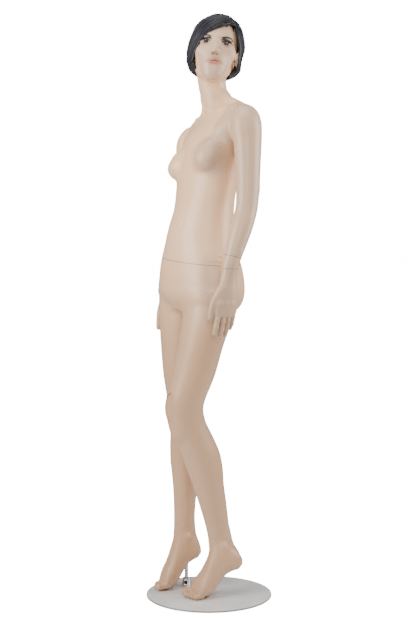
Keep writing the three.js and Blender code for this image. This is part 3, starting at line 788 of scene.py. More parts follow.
# ---------------------------------------------------------------- materials
EYE_X = 32.0
EYE_Z = 6.0
FLAT = 1000.0


def head_frame():
    """The head's place in the figure's millimetres: leant, tilted back and turned left."""
    turn = Euler((-HEAD_TILT, HEAD_ROLL, HEAD_YAW), "YXZ").to_matrix().to_4x4()
    return Matrix.Translation(Vector(HEAD_CENTRE)) @ turn


def head_position(g, position):
    """Object coordinates in the head's own millimetres, mirrored onto its left half."""
    place = head_frame()
    centre = (place.translation + Vector((BODY_X, 0, 0))) * MM
    local = g.node("ShaderNodeMapping", {"vector_type": "TEXTURE"}, Vector=position)
    g.put(local, "Location", centre)
    g.put(local, "Rotation", place.to_euler("XYZ"))
    g.put(local, "Scale", (MM, MM, MM))
    parts = g.node("ShaderNodeSeparateXYZ", Vector=local.outputs[0])
    half = g.node("ShaderNodeCombineXYZ")
    g.put(half, "X", g.math("ABSOLUTE", parts.outputs["X"]))
    g.put(half, "Y", parts.outputs["Y"])
    g.put(half, "Z", parts.outputs["Z"])
    return half.outputs[0], parts.outputs


# Metres round a joint within which its seam's line is drawn. The wrists' also reach the
# hip beside them, which gets a strip of the same line.
WAIST_REACH, WRIST_REACH = 0.24, 0.06


def seam_line(g, position, joint):
    """One within a millimetre of a joint's plane and near the joint: painted shade in the seam's
    gap, and the dirt along it.
    """
    away = g.node("ShaderNodeVectorMath", {"operation": "SUBTRACT"})
    g.put(away, 0, position)
    g.put(away, 1, joint["pos_m"])
    height = g.node("ShaderNodeVectorMath", {"operation": "DOT_PRODUCT"})
    g.put(height, 0, away.outputs[0])
    g.put(height, 1, Vector(joint["axis"]).normalized())
    reach = g.node("ShaderNodeVectorMath", {"operation": "LENGTH"})
    g.put(reach, 0, away.outputs[0])
    limit = WAIST_REACH if "waist" in joint["name"] else WRIST_REACH
    near = g.math("LESS_THAN", reach.outputs["Value"], limit)
    line = g.ranged(g.math("ABSOLUTE", height.outputs["Value"]), 0.0005, 0.0013, 1.0, 0.0)
    return g.math("MULTIPLY", line, near)


def skin_material(settings):
    """Sprayed satin skin with painted eyes, brows, lips and blush on the head, painted shade on the
    legs, face, nostrils and seams, and a painted highlight in each eye.
    """
    made, g, shader, position = material(
        "Sprayed skin paint", Roughness=0.4, Coat_Weight=0.12, Coat_Roughness=0.3)
    mottle = placed(g, mottle_group(), Position=position, Slow_scale=7.0, Fine_scale=900.0)
    base = (*settings.skin_colour, 1)
    warm = (base[0] * 0.93, base[1] * 0.87, base[2] * 0.82, 1)
    colour = g.mix(g.math("MULTIPLY", mottle.outputs["Tint"], 0.35), base, warm)
    height = g.node("ShaderNodeSeparateXYZ", Vector=position).outputs["Z"]
    # Painted shade: the skin darkens and browns from the hips down to mid thigh, standing in for
    # the lower body getting less light.
    painted_low_shade = g.ranged(height, 1.09, 0.76, 0.0, 1.0, True)
    colour = g.mix(painted_low_shade, colour, (base[0] * 0.70, base[1] * 0.65, base[2] * 0.63, 1))
    half, parts = head_position(g, position)
    front = g.ranged(parts["Y"], -50.0, -62.0, 0.0, 1.0, True)
    spot = spot_group()

    def spots(tint, strength, centre, radii, edge, lean=0.0, less=None, limit=None):
        nonlocal colour
        mask = placed(g, spot, Position=half, Location=(centre[0], 0, centre[1]),
                      Rotation=(0, lean, 0), Scale=(radii[0], FLAT, radii[1]),
                      Edge=edge).outputs[0]
        for other, invert in ((limit, False), (less, True)):
            if other is not None:
                share = g.math("SUBTRACT", 1.0, other) if invert else other
                mask = g.math("MULTIPLY", mask, share)
        paint = g.math("MULTIPLY", g.math("MULTIPLY", mask, front), strength)
        colour = g.mix(paint, colour, (*tint, 1))
        return mask

    def shape(centre, radii, edge, lean=0.0):
        return placed(g, spot, Position=half, Location=(centre[0], 0, centre[1]),
                      Rotation=(0, lean, 0), Scale=(radii[0], FLAT, radii[1]),
                      Edge=edge).outputs[0]

    ex, ez = EYE_X, EYE_Z
    # Painted shade: the face front a shade deeper than the body, standing in for the face getting
    # less light than the chest.
    colour = g.mix(g.math("MULTIPLY", front, 0.8), colour,
                   tuple(c * k for c, k in zip(base[:3], (0.64, 0.67, 0.75))) + (1,))
    spots((0.66, 0.22, 0.17), 0.34, (50, -24), (24, 27), 0.95, 0.5)
    spots((0.13, 0.04, 0.04), 0.85, (ex + 2, ez + 7), (24, 12), 0.8, 0.12)
    spots((0.34, 0.11, 0.10), 0.5, (ex + 3, ez - 5), (18, 8), 0.9)
    below = shape((ex, ez - 9.8), (18.5, 15.6), 0.05)
    above = shape((ex, ez + 9), (18.5, 14), 0.06)
    almond = g.math("MULTIPLY", below, above)
    lid = g.math("MULTIPLY", shape((ex + 1, ez - 7.6), (21.5, 17.2), 0.06), above)
    liner = g.math("MULTIPLY", g.math("SUBTRACT", lid, almond, clamp=True), front)
    under = g.math("SUBTRACT", shape((ex + 0.5, ez + 8.4), (19.6, 14.5), 0.06), above, clamp=True)
    under = g.math("MULTIPLY", g.math("MULTIPLY", under, below), front)
    colour = g.mix(g.math("MULTIPLY", almond, front), colour, (0.34, 0.28, 0.27, 1))
    spots((0.035, 0.012, 0.008), 1.0, (ex - 1, ez + 1), (8.0, 8.0), 0.12, limit=almond)
    spots((0.003, 0.002, 0.002), 1.0, (ex - 1, ez + 1), (4.2, 4.4), 0.25, limit=almond)
    # Painted highlight: a white glint on each iris, standing in for the lamps' reflection.
    spots((0.8, 0.8, 0.8), 1.0, (ex + 0.8, ez + 3.0), (1.2, 1.2), 0.3, limit=almond)
    colour = g.mix(liner, colour, (0.006, 0.003, 0.003, 1))
    colour = g.mix(g.math("MULTIPLY", under, 0.75), colour, (0.10, 0.03, 0.028, 1))
    spots((0.008, 0.004, 0.004), 1.0, (ex + 19.5, ez + 3.4), (7.5, 1.9), 0.5, -0.35)
    arch = g.math("MULTIPLY", shape((ex + 4, -2), (33, 30.6), 0.05),
                  g.math("SUBTRACT", 1.0, shape((ex + 6, -8.6), (33, 31), 0.05)))
    spots((0.016, 0.007, 0.006), 0.98, (ex + 2, 24), (25, 12), 0.25, limit=arch)
    lip = settings.lip_colour
    spots(lip, 0.85, (10, -52), (22, 5), 0.25, 0.2, less=shape((14, -64), (32, 10), 0.05))
    spots(lip, 0.85, (0, -59), (24, 5.6), 0.3, less=shape((0, -50.8), (34, 4.6), 0.06))
    spots((0.10, 0.022, 0.02), 0.95, (0, -54.6), (28, 1.9), 0.5)
    # Painted shade: dark spots in the nostrils, where shade falls in the recesses.
    spots((0.07, 0.025, 0.02), 0.9, (6.2, -34), (3.6, 2.8), 0.5)
    # Painted shade and dirt: a dark line along the waist and wrist seams.
    for name in ("waist_turn", "wrist_left_turn", "wrist_right_turn"):
        line = seam_line(g, position, JOINTS[name])
        colour = g.mix(g.math("MULTIPLY", line, 0.75), colour, (0.13, 0.085, 0.055, 1))
    g.put(shader, "Base Color", colour)
    g.put(shader, "Roughness", g.ranged(mottle.outputs["Tint"], 0.0, 1.0, 0.37, 0.45))
    bump(g, shader, mottle.outputs["Height"], 0.05, 0.0004)
    return made


def hair_material(settings):
    """Fibre streaked along each lock: U runs round it and V along it."""
    made, g, shader, _ = material("Wig fibre", Roughness=0.4, Specular_IOR_Level=0.22)
    uv = g.node("ShaderNodeUVMap", {"uv_map": "along"}).outputs[0]
    streak = placed(g, streak_group(), Position=uv, Pull=(26.0, 1.6, 1.0)).outputs[0]
    dark = (*settings.hair_colour, 1)
    # The lighter strands are partly the fibre's own tone and partly painted highlight, standing in
    # for gloss along the locks.
    light = tuple(c * 9 for c in dark[:3]) + (1,)
    g.put(shader, "Base Color", g.mix(g.math("POWER", streak, 2.2), dark, light))
    g.put(shader, "Roughness", g.ranged(streak, 0.0, 1.0, 0.42, 0.24))
    bump(g, shader, streak, 0.35, 0.0008)
    return made


def net_material():
    made, g, shader, position = material("Wig net", Roughness=0.85)
    mottle = placed(g, mottle_group(), Position=position, Fine_scale=900.0)
    g.put(shader, "Base Color", g.mix(mottle.outputs["Speckle"], (0.01, 0.01, 0.011, 1),
                                      (0.03, 0.028, 0.028, 1)))
    bump(g, shader, mottle.outputs["Height"], 0.3, 0.0006)
    return made


def steel_material(settings):
    """Brushed plate steel: streaks in colour and gloss, smudges and painted shade on the rim."""
    made, g, shader, position = material("Brushed plate steel", Metallic=0.4, Roughness=0.4)
    turn = g.node("ShaderNodeMapping", Vector=position, Rotation=(0, 0, math.radians(-57)))
    streak = placed(g, streak_group(), Position=turn.outputs[0], Pull=(9.0, 420.0, 60.0)).outputs[0]
    mottle = placed(g, mottle_group(), Position=position, Slow_scale=11.0, Fine_scale=130.0)
    base = (*settings.steel_colour, 1)
    colour = g.mix(g.math("MULTIPLY", streak, 0.6), base, tuple(c * 0.6 for c in base[:3]) + (1,))
    colour = g.mix(g.math("MULTIPLY", mottle.outputs["Tint"], 0.35), colour,
                   tuple(c * 0.62 for c in base[:3]) + (1,))
    flat = g.node("ShaderNodeVectorMath", {"operation": "MULTIPLY"})
    g.put(flat, 0, position)
    g.put(flat, 1, (1, 1, 0))
    radius = g.node("ShaderNodeVectorMath", {"operation": "LENGTH"})
    g.put(radius, 0, flat.outputs[0])
    # Painted shade: a dark band round the plate's rim, standing in for its edge falling in shade.
    edge = g.ranged(radius.outputs["Value"], 0.1912, 0.1926, 0.0, 0.75, True)
    colour = g.mix(edge, colour, (0.12, 0.12, 0.12, 1))
    g.put(shader, "Base Color", colour)
    g.put(shader, "Roughness", g.ranged(streak, 0.0, 1.0, 0.34, 0.52))
    bump(g, shader, streak, 0.12, 0.0004)
    return made


def metal_material(name, colour, roughness, spread, scale):
    """Bare metal with a faint brushed unevenness in its gloss."""
    made, g, shader, position = material(name, Metallic=1.0, Roughness=roughness)
    mottle = placed(g, mottle_group(), Position=position, Slow_scale=scale, Fine_scale=scale * 9)
    darker = tuple(c * 0.8 for c in colour) + (1,)
    g.put(shader, "Base Color", g.mix(g.math("MULTIPLY", mottle.outputs["Tint"], 0.5),
                                      (*colour, 1), darker))
    g.put(shader, "Roughness", g.ranged(mottle.outputs["Speckle"], 0.0, 1.0,
                                        roughness, roughness + spread))
    bump(g, shader, mottle.outputs["Height"], 0.06, 0.0003)
    return made


def dull_material(name, dark, light, roughness, scale, height):
    """Foam or pressed board: speckled colour with a rough grain."""
    made, g, shader, position = material(name, Roughness=roughness)
    mottle = placed(g, mottle_group(), Position=position, Slow_scale=scale / 8, Fine_scale=scale)
    speckle = g.mix(mottle.outputs["Speckle"], (*dark, 1), (*light, 1))
    g.put(shader, "Base Color", g.mix(g.math("MULTIPLY", mottle.outputs["Tint"], 0.3), speckle,
                                      (*dark, 1)))
    bump(g, shader, mottle.outputs["Height"], height, 0.001)
    return made


# ---------------------------------------------------------------- forms of the figure
DROP = Matrix.Translation((0, 0, -SHOULDER_DROP))
MIRROR = Matrix.Diagonal((-1, 1, 1, 1))
SHOULDER_POINT = Vector((SHOULDER_SEAM, 47, 1446))
ARM_BACK = (Matrix.Translation(SHOULDER_POINT) @ Matrix.Rotation(RIGHT_ARM_BACK, 4, "X")
            @ Matrix.Translation(-SHOULDER_POINT))
SIDES = {"left": Matrix.Identity(4), "right": DROP @ MIRROR @ ARM_BACK}
THUMB = [
    [178, -90, 858, 5, 5, 5],
    [178, -89, 866, 8, 9, 9],
    [180, -85, 892, 9, 10, 10],
    [184, -74, 922, 11, 13, 13],
    [188, -53, 950, 13, 17, 17],
]


def level(p):
    """Points as they were before the trunk's rows were tilted to its hip and shoulder."""
    q = p.copy()
    reach = 1.3 * SHOULDER_SEAM
    side = np.clip(p[:, 0], -reach, reach)
    for _ in range(4):
        share = np.clip((q[:, 2] - WAIST_HEIGHT) / (SHOULDER_HEIGHT - WAIST_HEIGHT), 0, 1)
        q[:, 2] = p[:, 2] - (WAIST_SLOPE + (SHOULDER_SLOPE - WAIST_SLOPE) * share) * side
    return q


def trunk_form():
    """Hips, belly, back and chest, with collar bones, shoulder blades and spine line."""
    form = Form(Loft(TRUNK))
    for s in (-1, 1):
        form.egg((s * 66, 44, 944), (62, 47, 62), 18)
        bust = 1335 + s * 3
        form.egg((s * 70, -25, bust), (48, 43, 50), 20)
        form.egg((s * 71, -37, bust - 10), (44, 39, 40), 5)
        form.egg((s * 62, 100, 1388), (36, 21, 50), 26)
        form.bone((s * 30, 57, 1526), (s * 116, 58, 1475), 12, 14, 22)
        form.bone((s * 15, 12, 1483), (s * 62, 19, 1477), 5.5, 5.5, 10)
        form.bone((s * 62, 19, 1477), (s * 118, 36, 1473), 5.5, 6.5, 12)
        form.egg((s * 60, 2, 1503), (28, 10, 12), 16, sign=-1)
    for start, end in (((0, 99, 1120), (0, 107, 1250)), ((0, 107, 1250), (0, 125, 1370)),
                       ((0, 125, 1370), (0, 130, 1440))):
        form.bone(start, end, 13, 13, 15, sign=-1)
    form.bone((0, 122, 992), (0, 96, 890), 8, 10, 15, sign=-1)
    form.egg((0, 4, 1497), (9, 8, 9), 9, sign=-1)
    form.bone((31, -103, 1172), (14, -90, 1250), 5, 4, 14, sign=-1)
    form.egg((31, -102, 1146), (5, 9, 8), 6, sign=-1)
    return lambda p: form(level(p))


def arm_form():
    form = Form(Loft(ARM))
    form.egg((178, 69, 1242), (12, 10, 20), 12)
    form.egg((207, -10, 1056), (7, 9, 10), 10)
    form.egg((155, 46, 1430), (35, 38, 46), 18)
    return form


def hand_form():
    """Palm, four jointed fingers and the thumb of the left hand."""
    form = Form(Loft(PALM))
    digits = []
    for root, tip_y, tip_z, r in FINGERS:
        way = np.array([-9, tip_y - root, tip_z + r * 0.8 - FINGER_ROOT])
        start = np.array([187, root, FINGER_ROOT])
        knuckle = start + way * [0.1, 0.42, 0.42]
        joint = start + way * [0.42, 0.74, 0.74]
        tip = start + way
        finger = Form(lambda p, a=start, b=knuckle, c=r: rod(p, a, b, c, c * 0.97))
        finger.bone(knuckle, joint, r * 0.95, r * 0.9, 3)
        finger.bone(joint, tip, r * 0.88, r * 0.74, 3)
        finger.egg(tip + [r * 0.52, 0, 3.5], (2.4, r * 0.52, r * 0.95), 0.8)
        digits.append(finger)
    fingers = joined(digits, 1.6)
    form.feature((165, -90, 790), (205, 5, FINGER_ROOT + 14), fingers, 6, 1)
    form.feature((165, -105, 850), (205, -20, 972), Loft(THUMB), 8, 1)
    form.egg((196, -66, 905), (6, 8, 8), 8)
    form.egg((196, -48, 905), (6, 8, 8), 8)
    form.egg((196, -30, 905), (6, 8, 8), 8)
    return form


def foot_frame(foot):
    turn = math.radians(foot["heading"])
    ahead = Vector((-math.sin(turn), -math.cos(turn), 0))
    up = Vector((0, 0, 1))
    across = up.cross(ahead)
    frame_of = Matrix((across, up, ahead)).transposed().to_4x4()
    return Matrix.Translation((*foot["heel"], BASE_TOP + FOOT_CLEARANCE)) @ frame_of


def foot_form(foot):
    """A raised heel, arch and ball, cut back towards the small toe, and five toes."""
    rows = []
    for share, sole, instep, half in FOOT:
        low, high = sole * foot["rise"], instep * foot["rise"]
        middle = low + (high - low) * 0.4
        rows.append([0, middle, share * foot["length"], half, middle - low, high - middle])
    body = Loft(rows)
    outer = -foot["inner"]
    length = foot["length"]

    def skewed(p):
        q = p.copy()
        share = np.clip((p[:, 2] / length - 0.6) / 0.3, 0, 1)
        q[:, 2] += 0.42 * share * np.maximum(p[:, 0] * outer + 4, 0)
        return body(q)

    form = Form(skewed)
    toes = []
    for across, tip, r in TOES:
        x = across * outer
        start, end = 0.72 * length, tip * length
        middle = (x * 0.97, r * 1.12, start + (end - start) * 0.52)
        last = (x, r * 0.98, end - r * 0.9)
        toe = Form(lambda p, a=(x * 0.88, r * 1.2, start), b=middle, c=r: rod(p, a, b, c, c))
        toe.bone(middle, last, r * 0.86, r * 0.95, 3)
        toe.egg((x, r * 1.7, end - r * 1.15), (r * 0.5, r * 0.3, r * 0.66), 0.8)
        toes.append(toe)
    form.feature((-50, -5, 0.6 * length), (50, 60, length + 15), joined(toes, 1.6), 5, 1)
    form.egg((0, 112 * foot["rise"], 14), (21, 24, 17), 12)
    return moved_field(form, foot_frame(foot))


def legs_form():
    """Both legs with knees, heel cords and ankle bones."""
    left = Form(Loft(LEG_LEFT))
    left.egg((47, -118, 524), (27, 20, 34), 22)
    left.bone((83, 62, 140), (67, 44, 205), 5, 3, 20)
    right = Form(Loft(LEG_RIGHT))
    right.egg((-78, -46, 524), (24, 17, 33), 18)
    right.bone((-67, 16, 145), (-78, 4, 205), 7, 4, 22)
    for form, foot, (x, y, z) in ((left, FEET["left"], (66, 24, 152)),
                                  (right, FEET["right"], (-78, -22, 158))):
        turn = math.radians(foot["heading"])
        for s in (-1, 1):
            at = (x + s * 27 * math.cos(turn), y - s * 27 * math.sin(turn) + 4, z + 6 * s)
            form.egg(at, (8, 10, 12), 11)
    return joined([joined([left, foot_form(FEET["left"])], 20),
                   joined([right, foot_form(FEET["right"])], 18)], 6)


def head_form():
    """A plain smooth face, ears and skull, facing -Y round its own centre."""
    form = Form(Loft(HEAD))
    form.egg((0, -53, -88), (20, 17, 13), 15)
    form.bone((-30, -30, -74), (-52, -2, -44), 12, 10, 16)
    form.bone((30, -30, -74), (52, -2, -44), 12, 10, 16)
    for s in (-1, 1):
        form.egg((s * 41, -46, -15), (21, 18, 15), 20)
        form.egg((s * EYE_X, -90, EYE_Z), (18, 13.5, 11), 12, sign=-1)
        form.egg((s * EYE_X, -65, EYE_Z), (16.5, 13.5, 12.5), 2.5)
        form.bone((s * 17, -72, EYE_Z + 7), (s * 46, -64, EYE_Z + 6), 3.2, 2.6, 3.5)
        form.bone((s * 9, -81, 22), (s * 42, -69, 25), 4.5, 3, 13)
        form.egg((s * 10, -93, -27), (6.5, 9, 6), 5)
        form.egg((s * 6, -100, -34), (3.2, 5, 3.6), 2.5, sign=-1)
        form.bone((s * 3, -88.5, -50.5), (s * 27, -77, -56), 3.8, 1.6, 3.5)
        form.egg((s * 71, 9, -9), (10, 15, 26), 4)
        form.egg((s * 83, 4, -5), (5, 7, 12), 3, sign=-1)
        form.egg((s * 81, 2, -22), (4, 4, 7), 3, sign=-1)
    form.bone((0, -82, 24), (0, -98, -20), 4.5, 7, 9)
    form.egg((0, -101, -24), (8.5, 8.5, 7.5), 6)
    form.bone((0, -93, -36), (0, -95, -43), 2.2, 2.6, 4, sign=-1)
    form.bone((-11, -86, -59), (11, -86, -59), 4.8, 4.8, 4)
    form.bone((-25, -80.5, -55.6), (0, -94, -53.8), 0.9, 1.4, 2, sign=-1)
    form.bone((25, -80.5, -55.6), (0, -94, -53.8), 0.9, 1.4, 2, sign=-1)
    form.egg((0, -93, -70), (16, 6, 5), 9, sign=-1)
    return form


def clipped(field, planes):
    """The field closed a little beyond each seam, so that the seam can be cut flat."""
    def shape(p):
        d = field(p)
        for point, normal, above in planes:
            past = (p - point) @ normal - 9
            d = np.maximum(d, past if above is None else np.where(p[:, 2] > above, past, -1e3))
        return d
    return shape


def figure_plane(joint_name, away):
    """A joint's plane in the figure's millimetres and in metres, its normal turned to
    the side that is cut away."""
    joint = JOINTS[joint_name]
    point, normal = Vector(joint["pos_m"]), Vector(joint["axis"]).normalized()
    if normal.dot(Vector(away)) < 0:
        normal = -normal
    return point, normal, np.array(point) / MM - [BODY_X, 0, 0], np.array(normal)


UP, DOWN = (0, 0, 1), (0, 0, -1)
SHOULDER_CUT_ABOVE = 1300.0
ARMPIT = 13.0


def dressed(made, body, *nodes, slot="skin_paint"):
    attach(made, body)
    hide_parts(*nodes)
    return made


def skin():
    return bpy.data.materials.get("Sprayed skin paint") or skin_material(
        bpy.context.scene.mannequin_figure)


# ---------------------------------------------------------------- operators
class LowerBody(bpy.types.Operator):
    """Hips, legs and feet: blended lofts cut flat at the waist, with the rod's bore"""
    bl_idname = "mannequin.lower_body"
    bl_label = "Lower body"

    def execute(self, context):
        step = context.scene.mannequin_figure.body_step / MM
        field = joined([trunk_form(), legs_form()], 20)
        point, normal, middle, away = figure_plane("waist_turn", UP)
        closed = clipped(field, [(middle, away, None)])
        low, high = (-185, -150, 0), (185, 135, WAIST_HEIGHT + 30)
        points, quads = surface(closed, low, high, (step, step, step * 1.1))
        made = mesh_object("lower_body_skin", world_mm(points), quads, skin())
        refined(made, field, lambda p: p[:, 2] < 120)
        cut_at(made, field, point, normal)
        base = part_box("support_rod")
        x, y = (base[0][0] + base[1][0]) / 2, (base[0][1] + base[1][1]) / 2
        bored(made, (x, y, -0.02), (x, y, 0.31), 0.0094)
        dressed(made, "lower_body", "lower_body_shell")
        return {"FINISHED"}


class Torso(bpy.types.Operator):
    """Belly, chest, neck and head as one moulding, cut flat at the waist and shoulders"""
    bl_idname = "mannequin.torso"
    bl_label = "Torso and head"

    def execute(self, context):
        step = context.scene.mannequin_figure.body_step / MM
        stubs = []
        for side in SIDES.values():
            arm = moved_field(arm_form(), side)
            stubs.append(lambda p, a=arm: np.maximum(
                a(p), np.maximum(1335 - p[:, 2], np.abs(p[:, 0]) - 145)))
        neck = Form(Loft(NECK))
        for s in (-1, 1):
            neck.bone((s * 36, 40, 1600), (s * 13, 14, 1498), 9, 6, 15)
        body = joined([joined([trunk_form(), *stubs], ARMPIT), neck], 24)
        field = joined([body, moved_field(head_form(), head_frame())], 14)
        waist = figure_plane("waist_turn", DOWN)
        left = figure_plane("shoulder_left_turn", (1, 0, 0))
        right = figure_plane("shoulder_right_turn", (-1, 0, 0))
        closed = clipped(field, [(*waist[2:], None), (*left[2:], SHOULDER_CUT_ABOVE),
                                 (*right[2:], SHOULDER_CUT_ABOVE)])
        low, high = (-172, -142, WAIST_HEIGHT - 32), (172, 150, 1800)
        points, quads = surface(closed, low, high, step)
        made = mesh_object("torso_skin", world_mm(points), quads, skin())
        refined(made, field, lambda p: p[:, 2] > 1545)
        back = np.array(head_frame().inverted())

        def face(p):
            q = p @ back[:3, :3].T + back[:3, 3]
            return (q[:, 1] < -48) & (q[:, 2] > -72) & (q[:, 2] < 42) & (np.abs(q[:, 0]) < 56)

        refined(made, field, face)
        cut_at(made, field, *waist[:2])
        for plane in (left, right):
            cut_at(made, field, *plane[:2], wanted=lambda co: co.z > SHOULDER_CUT_ABOVE * MM)
        dressed(made, "torso", "upper_body_shell")
        return {"FINISHED"}


class Arms(bpy.types.Operator):
    """Both arms, cut flat at the shoulder and wrist seams"""
    bl_idname = "mannequin.arms"
    bl_label = "Arms"

    def execute(self, context):
        step = context.scene.mannequin_figure.body_step / MM * 0.85
        trunk = trunk_form()
        for name, side in SIDES.items():
            inward = -1 if name == "left" else 1
            arm = moved_field(arm_form(), side)
            field = joined([arm, lambda p: np.maximum(trunk(p), 1345 - p[:, 2])], ARMPIT)
            shoulder = figure_plane(f"shoulder_{name}_turn", (inward, 0, 0))
            wrist = figure_plane(f"wrist_{name}_turn", DOWN)
            closed = clipped(field, [(*shoulder[2:], None), (*wrist[2:], None)])
            near, far = -inward * (SHOULDER_SEAM - 14), -inward * 236
            low = (min(near, far), -95, WAIST_HEIGHT - 45)
            high = (max(near, far), 125, 1560)
            points, quads = surface(closed, low, high, step)
            made = mesh_object(f"arm_{name}_skin", world_mm(points), quads, skin())
            cut_at(made, field, *shoulder[:2])
            cut_at(made, field, *wrist[:2], wall=0)
            dressed(made, f"arm_{name}", f"arm_shell_{name}")
        return {"FINISHED"}


class Hands(bpy.types.Operator):
    """Both hands, cut flat at the wrist seams"""
    bl_idname = "mannequin.hands"
    bl_label = "Hands"

    def execute(self, context):
        step = context.scene.mannequin_figure.fine_step / MM
        for name, side in SIDES.items():
            field = moved_field(hand_form(), side)
            wrist = figure_plane(f"wrist_{name}_turn", UP)
            closed = clipped(field, [(*wrist[2:], None)])
            box = [side @ Vector(c) for c in ((150, -125, 780), (235, 40, 1060))]
            low = np.min([box[0], box[1]], 0) - [0, 22, 8]
            high = np.max([box[0], box[1]], 0) + [0, 22, 8]
            points, quads = surface(closed, low, high, step)
            made = mesh_object(f"hand_{name}_skin", world_mm(points), quads, skin())
            cut_at(made, field, *wrist[:2], wall=0)
            dressed(made, f"hand_{name}", f"hand_{name}")
        return {"FINISHED"}


# ---------------------------------------------------------------- the wig
HAIR_MIDDLE = np.array([5.0, 4.0, 0.0])
PARTING = np.array([[50, -60, 70], [40, -20, 96], [30, 26, 103]], float)
FRINGE_LEVEL = 48.0
FRINGE_LEAN = 0.58
TIP_HEIGHT = -70.0


def wig_form():
    """The hair's outer loft, hollow below, less the face opening and the left ear's gap."""
    outer = Loft(HAIR)
    inner = Loft(HAIR, -13, ends=False)

    def shape(p):
        x, y, z = p.T
        left_edge = -65 + 0.012 * np.maximum(-z - 28, 0) ** 2 - x
        right_edge = x - 72 + 0.29 * np.maximum(z, 0) + 0.016 * np.maximum(-z - 44, 0) ** 2
        level = FRINGE_LEVEL + FRINGE_LEAN * x - 0.005 * np.minimum(x, 0) ** 2
        opening = np.maximum(z - np.minimum(level, 68), y + 22)
        opening = np.maximum(np.maximum(opening, left_edge), right_edge)
        hollow = np.maximum(inner(p), z + 30)
        gap = ellipsoid(p, (90, -3, -15), (30, 32, 27))
        d = -smooth_join(-outer(p), opening, 8)
        d = -smooth_join(-d, hollow, 5)
        return -smooth_join(-d, gap, 6)
    return shape


def hair_surface(directions, lift):
    """Points on the wig's outer loft along the directions from its middle, lifted."""
    outer = Loft(HAIR)
    reach = np.full(len(directions), 90.0)
    for _ in range(14):
        p = HAIR_MIDDLE + directions * reach[:, None]
        reach -= 0.8 * (outer(p) - lift)
    return HAIR_MIDDLE + directions * reach[:, None]


# Degrees round the head from the middle of the face: the first lock, the sweep of all of
# them, where the right side begins, and where its locks rise behind the ear or at the temple.
LOCK_START, LOCK_SWEEP = 61, 172
RIGHT_SIDE, BEHIND_EAR, AT_TEMPLE = 195, 228, 297
# Shares of the locks: up to the fringe's end, up to the parting's end on the left, after
# it on the right, and from the temple on.
FRINGE_SHARE, LEFT_SHARE, RIGHT_SHARE, TEMPLE_SHARE = 0.2, 0.7, 0.22, 0.93
FRINGE_TURN = 0.26  # radians by which the fringe's tips are swept outwards


def lock_paths(count, along, rng):
    """Each lock leaves the parting, rises over the skull and falls to the tips: a
    quadratic curve of directions from the wig's middle, put onto its outer loft. Those on
    the left start at the fringe; those on the right pass behind the ear, or stop at the
    temple in front of it."""
    share = (np.arange(count) + rng.random(count)) / count
    angle = np.radians(LOCK_START + LOCK_SWEEP * share)
    right = angle > math.radians(RIGHT_SIDE)
    temple = share > TEMPLE_SHARE
    part = np.where(right, (1 - share) / RIGHT_SHARE, share / LEFT_SHARE)
    part = np.clip(part + rng.normal(0, 0.04, count), 0, 1)
    start = np.stack([np.interp(part, [0, 0.5, 1], PARTING[:, n]) for n in range(3)], -1)
    start[:, 0] += np.where(right, 5, -3)
    lean = np.where(temple, math.radians(AT_TEMPLE),
                    np.minimum(angle, math.radians(BEHIND_EAR)))
    fringe = np.clip(share / FRINGE_SHARE, 0, 1)
    fall = angle + FRINGE_TURN * (1 - fringe)
    out = np.stack([-np.sin(fall), -np.cos(fall)], -1)
    rise = np.stack([-np.sin(lean), -np.cos(lean)], -1)
    end = np.stack([5 + 60 * out[:, 0], 8 + 62 * out[:, 1], np.full(count, TIP_HEIGHT)], -1)
    end[:, 2] += rng.normal(0, 2.2, count)
    forward = np.stack([np.full(count, 78.0), -34 + 34 * rng.random(count),
                        rng.normal(12, 3, count)], -1)
    end = np.where(temple[:, None], forward, end)
    top = np.where(right, np.where(temple, 62, 40), 46 + 38 * fringe)
    control = np.stack([5 + 80 * rise[:, 0], 6 + 86 * rise[:, 1], top], -1)
    control += (1 - fringe)[:, None] * [25.0, -44.0, 0.0]
    t = np.linspace(0, 1, along)[None, :, None]
    curve = ((1 - t) ** 2 * start[:, None] + 2 * t * (1 - t) * control[:, None]
             + t * t * end[:, None])
    way = curve - HAIR_MIDDLE
    way /= np.linalg.norm(way, axis=2)[:, :, None]
    lift = rng.uniform(-0.6, 0.9, count)
    return hair_surface(way.reshape(-1, 3), np.repeat(lift, along)).reshape(count, along, 3)


def locks_mesh(paths, width, depth, rng, around=5):
    """Flat tapered tubes along the paths: an ellipse across each path, wide in the
    surface and thin across it, narrowing to both ends. Returns points, quads and uv."""
    count, along = paths.shape[:2]
    tangent = np.gradient(paths, axis=1)
    tangent /= np.linalg.norm(tangent, axis=2)[:, :, None] + 1e-9
    outward = paths - HAIR_MIDDLE
    side = np.cross(tangent, outward)
    side /= np.linalg.norm(side, axis=2)[:, :, None] + 1e-9
    out = np.cross(side, tangent)
    t = np.linspace(0, 1, along)
    taper = np.clip(np.minimum(0.55 + t * 3, (1.02 - t) * 7), 0.08, 1)[None, :, None, None]
    angle = np.linspace(0, 2 * math.pi, around, endpoint=False)[None, None, :, None]
    wide = (width * rng.uniform(0.7, 1.3, count))[:, None, None, None]
    ring = (np.cos(angle) * side[:, :, None] * wide + np.sin(angle) * out[:, :, None] * depth)
    points = (paths[:, :, None] + ring * taper).reshape(-1, 3)
    k, i, j = np.meshgrid(np.arange(count), np.arange(along - 1), np.arange(around),
                          indexing="ij")
    at = (k * along + i) * around
    quads = np.stack([at + j, at + (j + 1) % around, at + around + (j + 1) % around,
                      at + around + j], -1).reshape(-1, 4)
    u = np.repeat(rng.random(count) * 40, along * around) + np.tile(
        np.abs(np.linspace(-1, 1, around)), count * along) * 0.6
    v = np.tile(np.repeat(t * 2, around), count) + np.repeat(rng.random(count) * 9,
                                                             along * around)
    return points, quads, np.stack([u, v], -1)


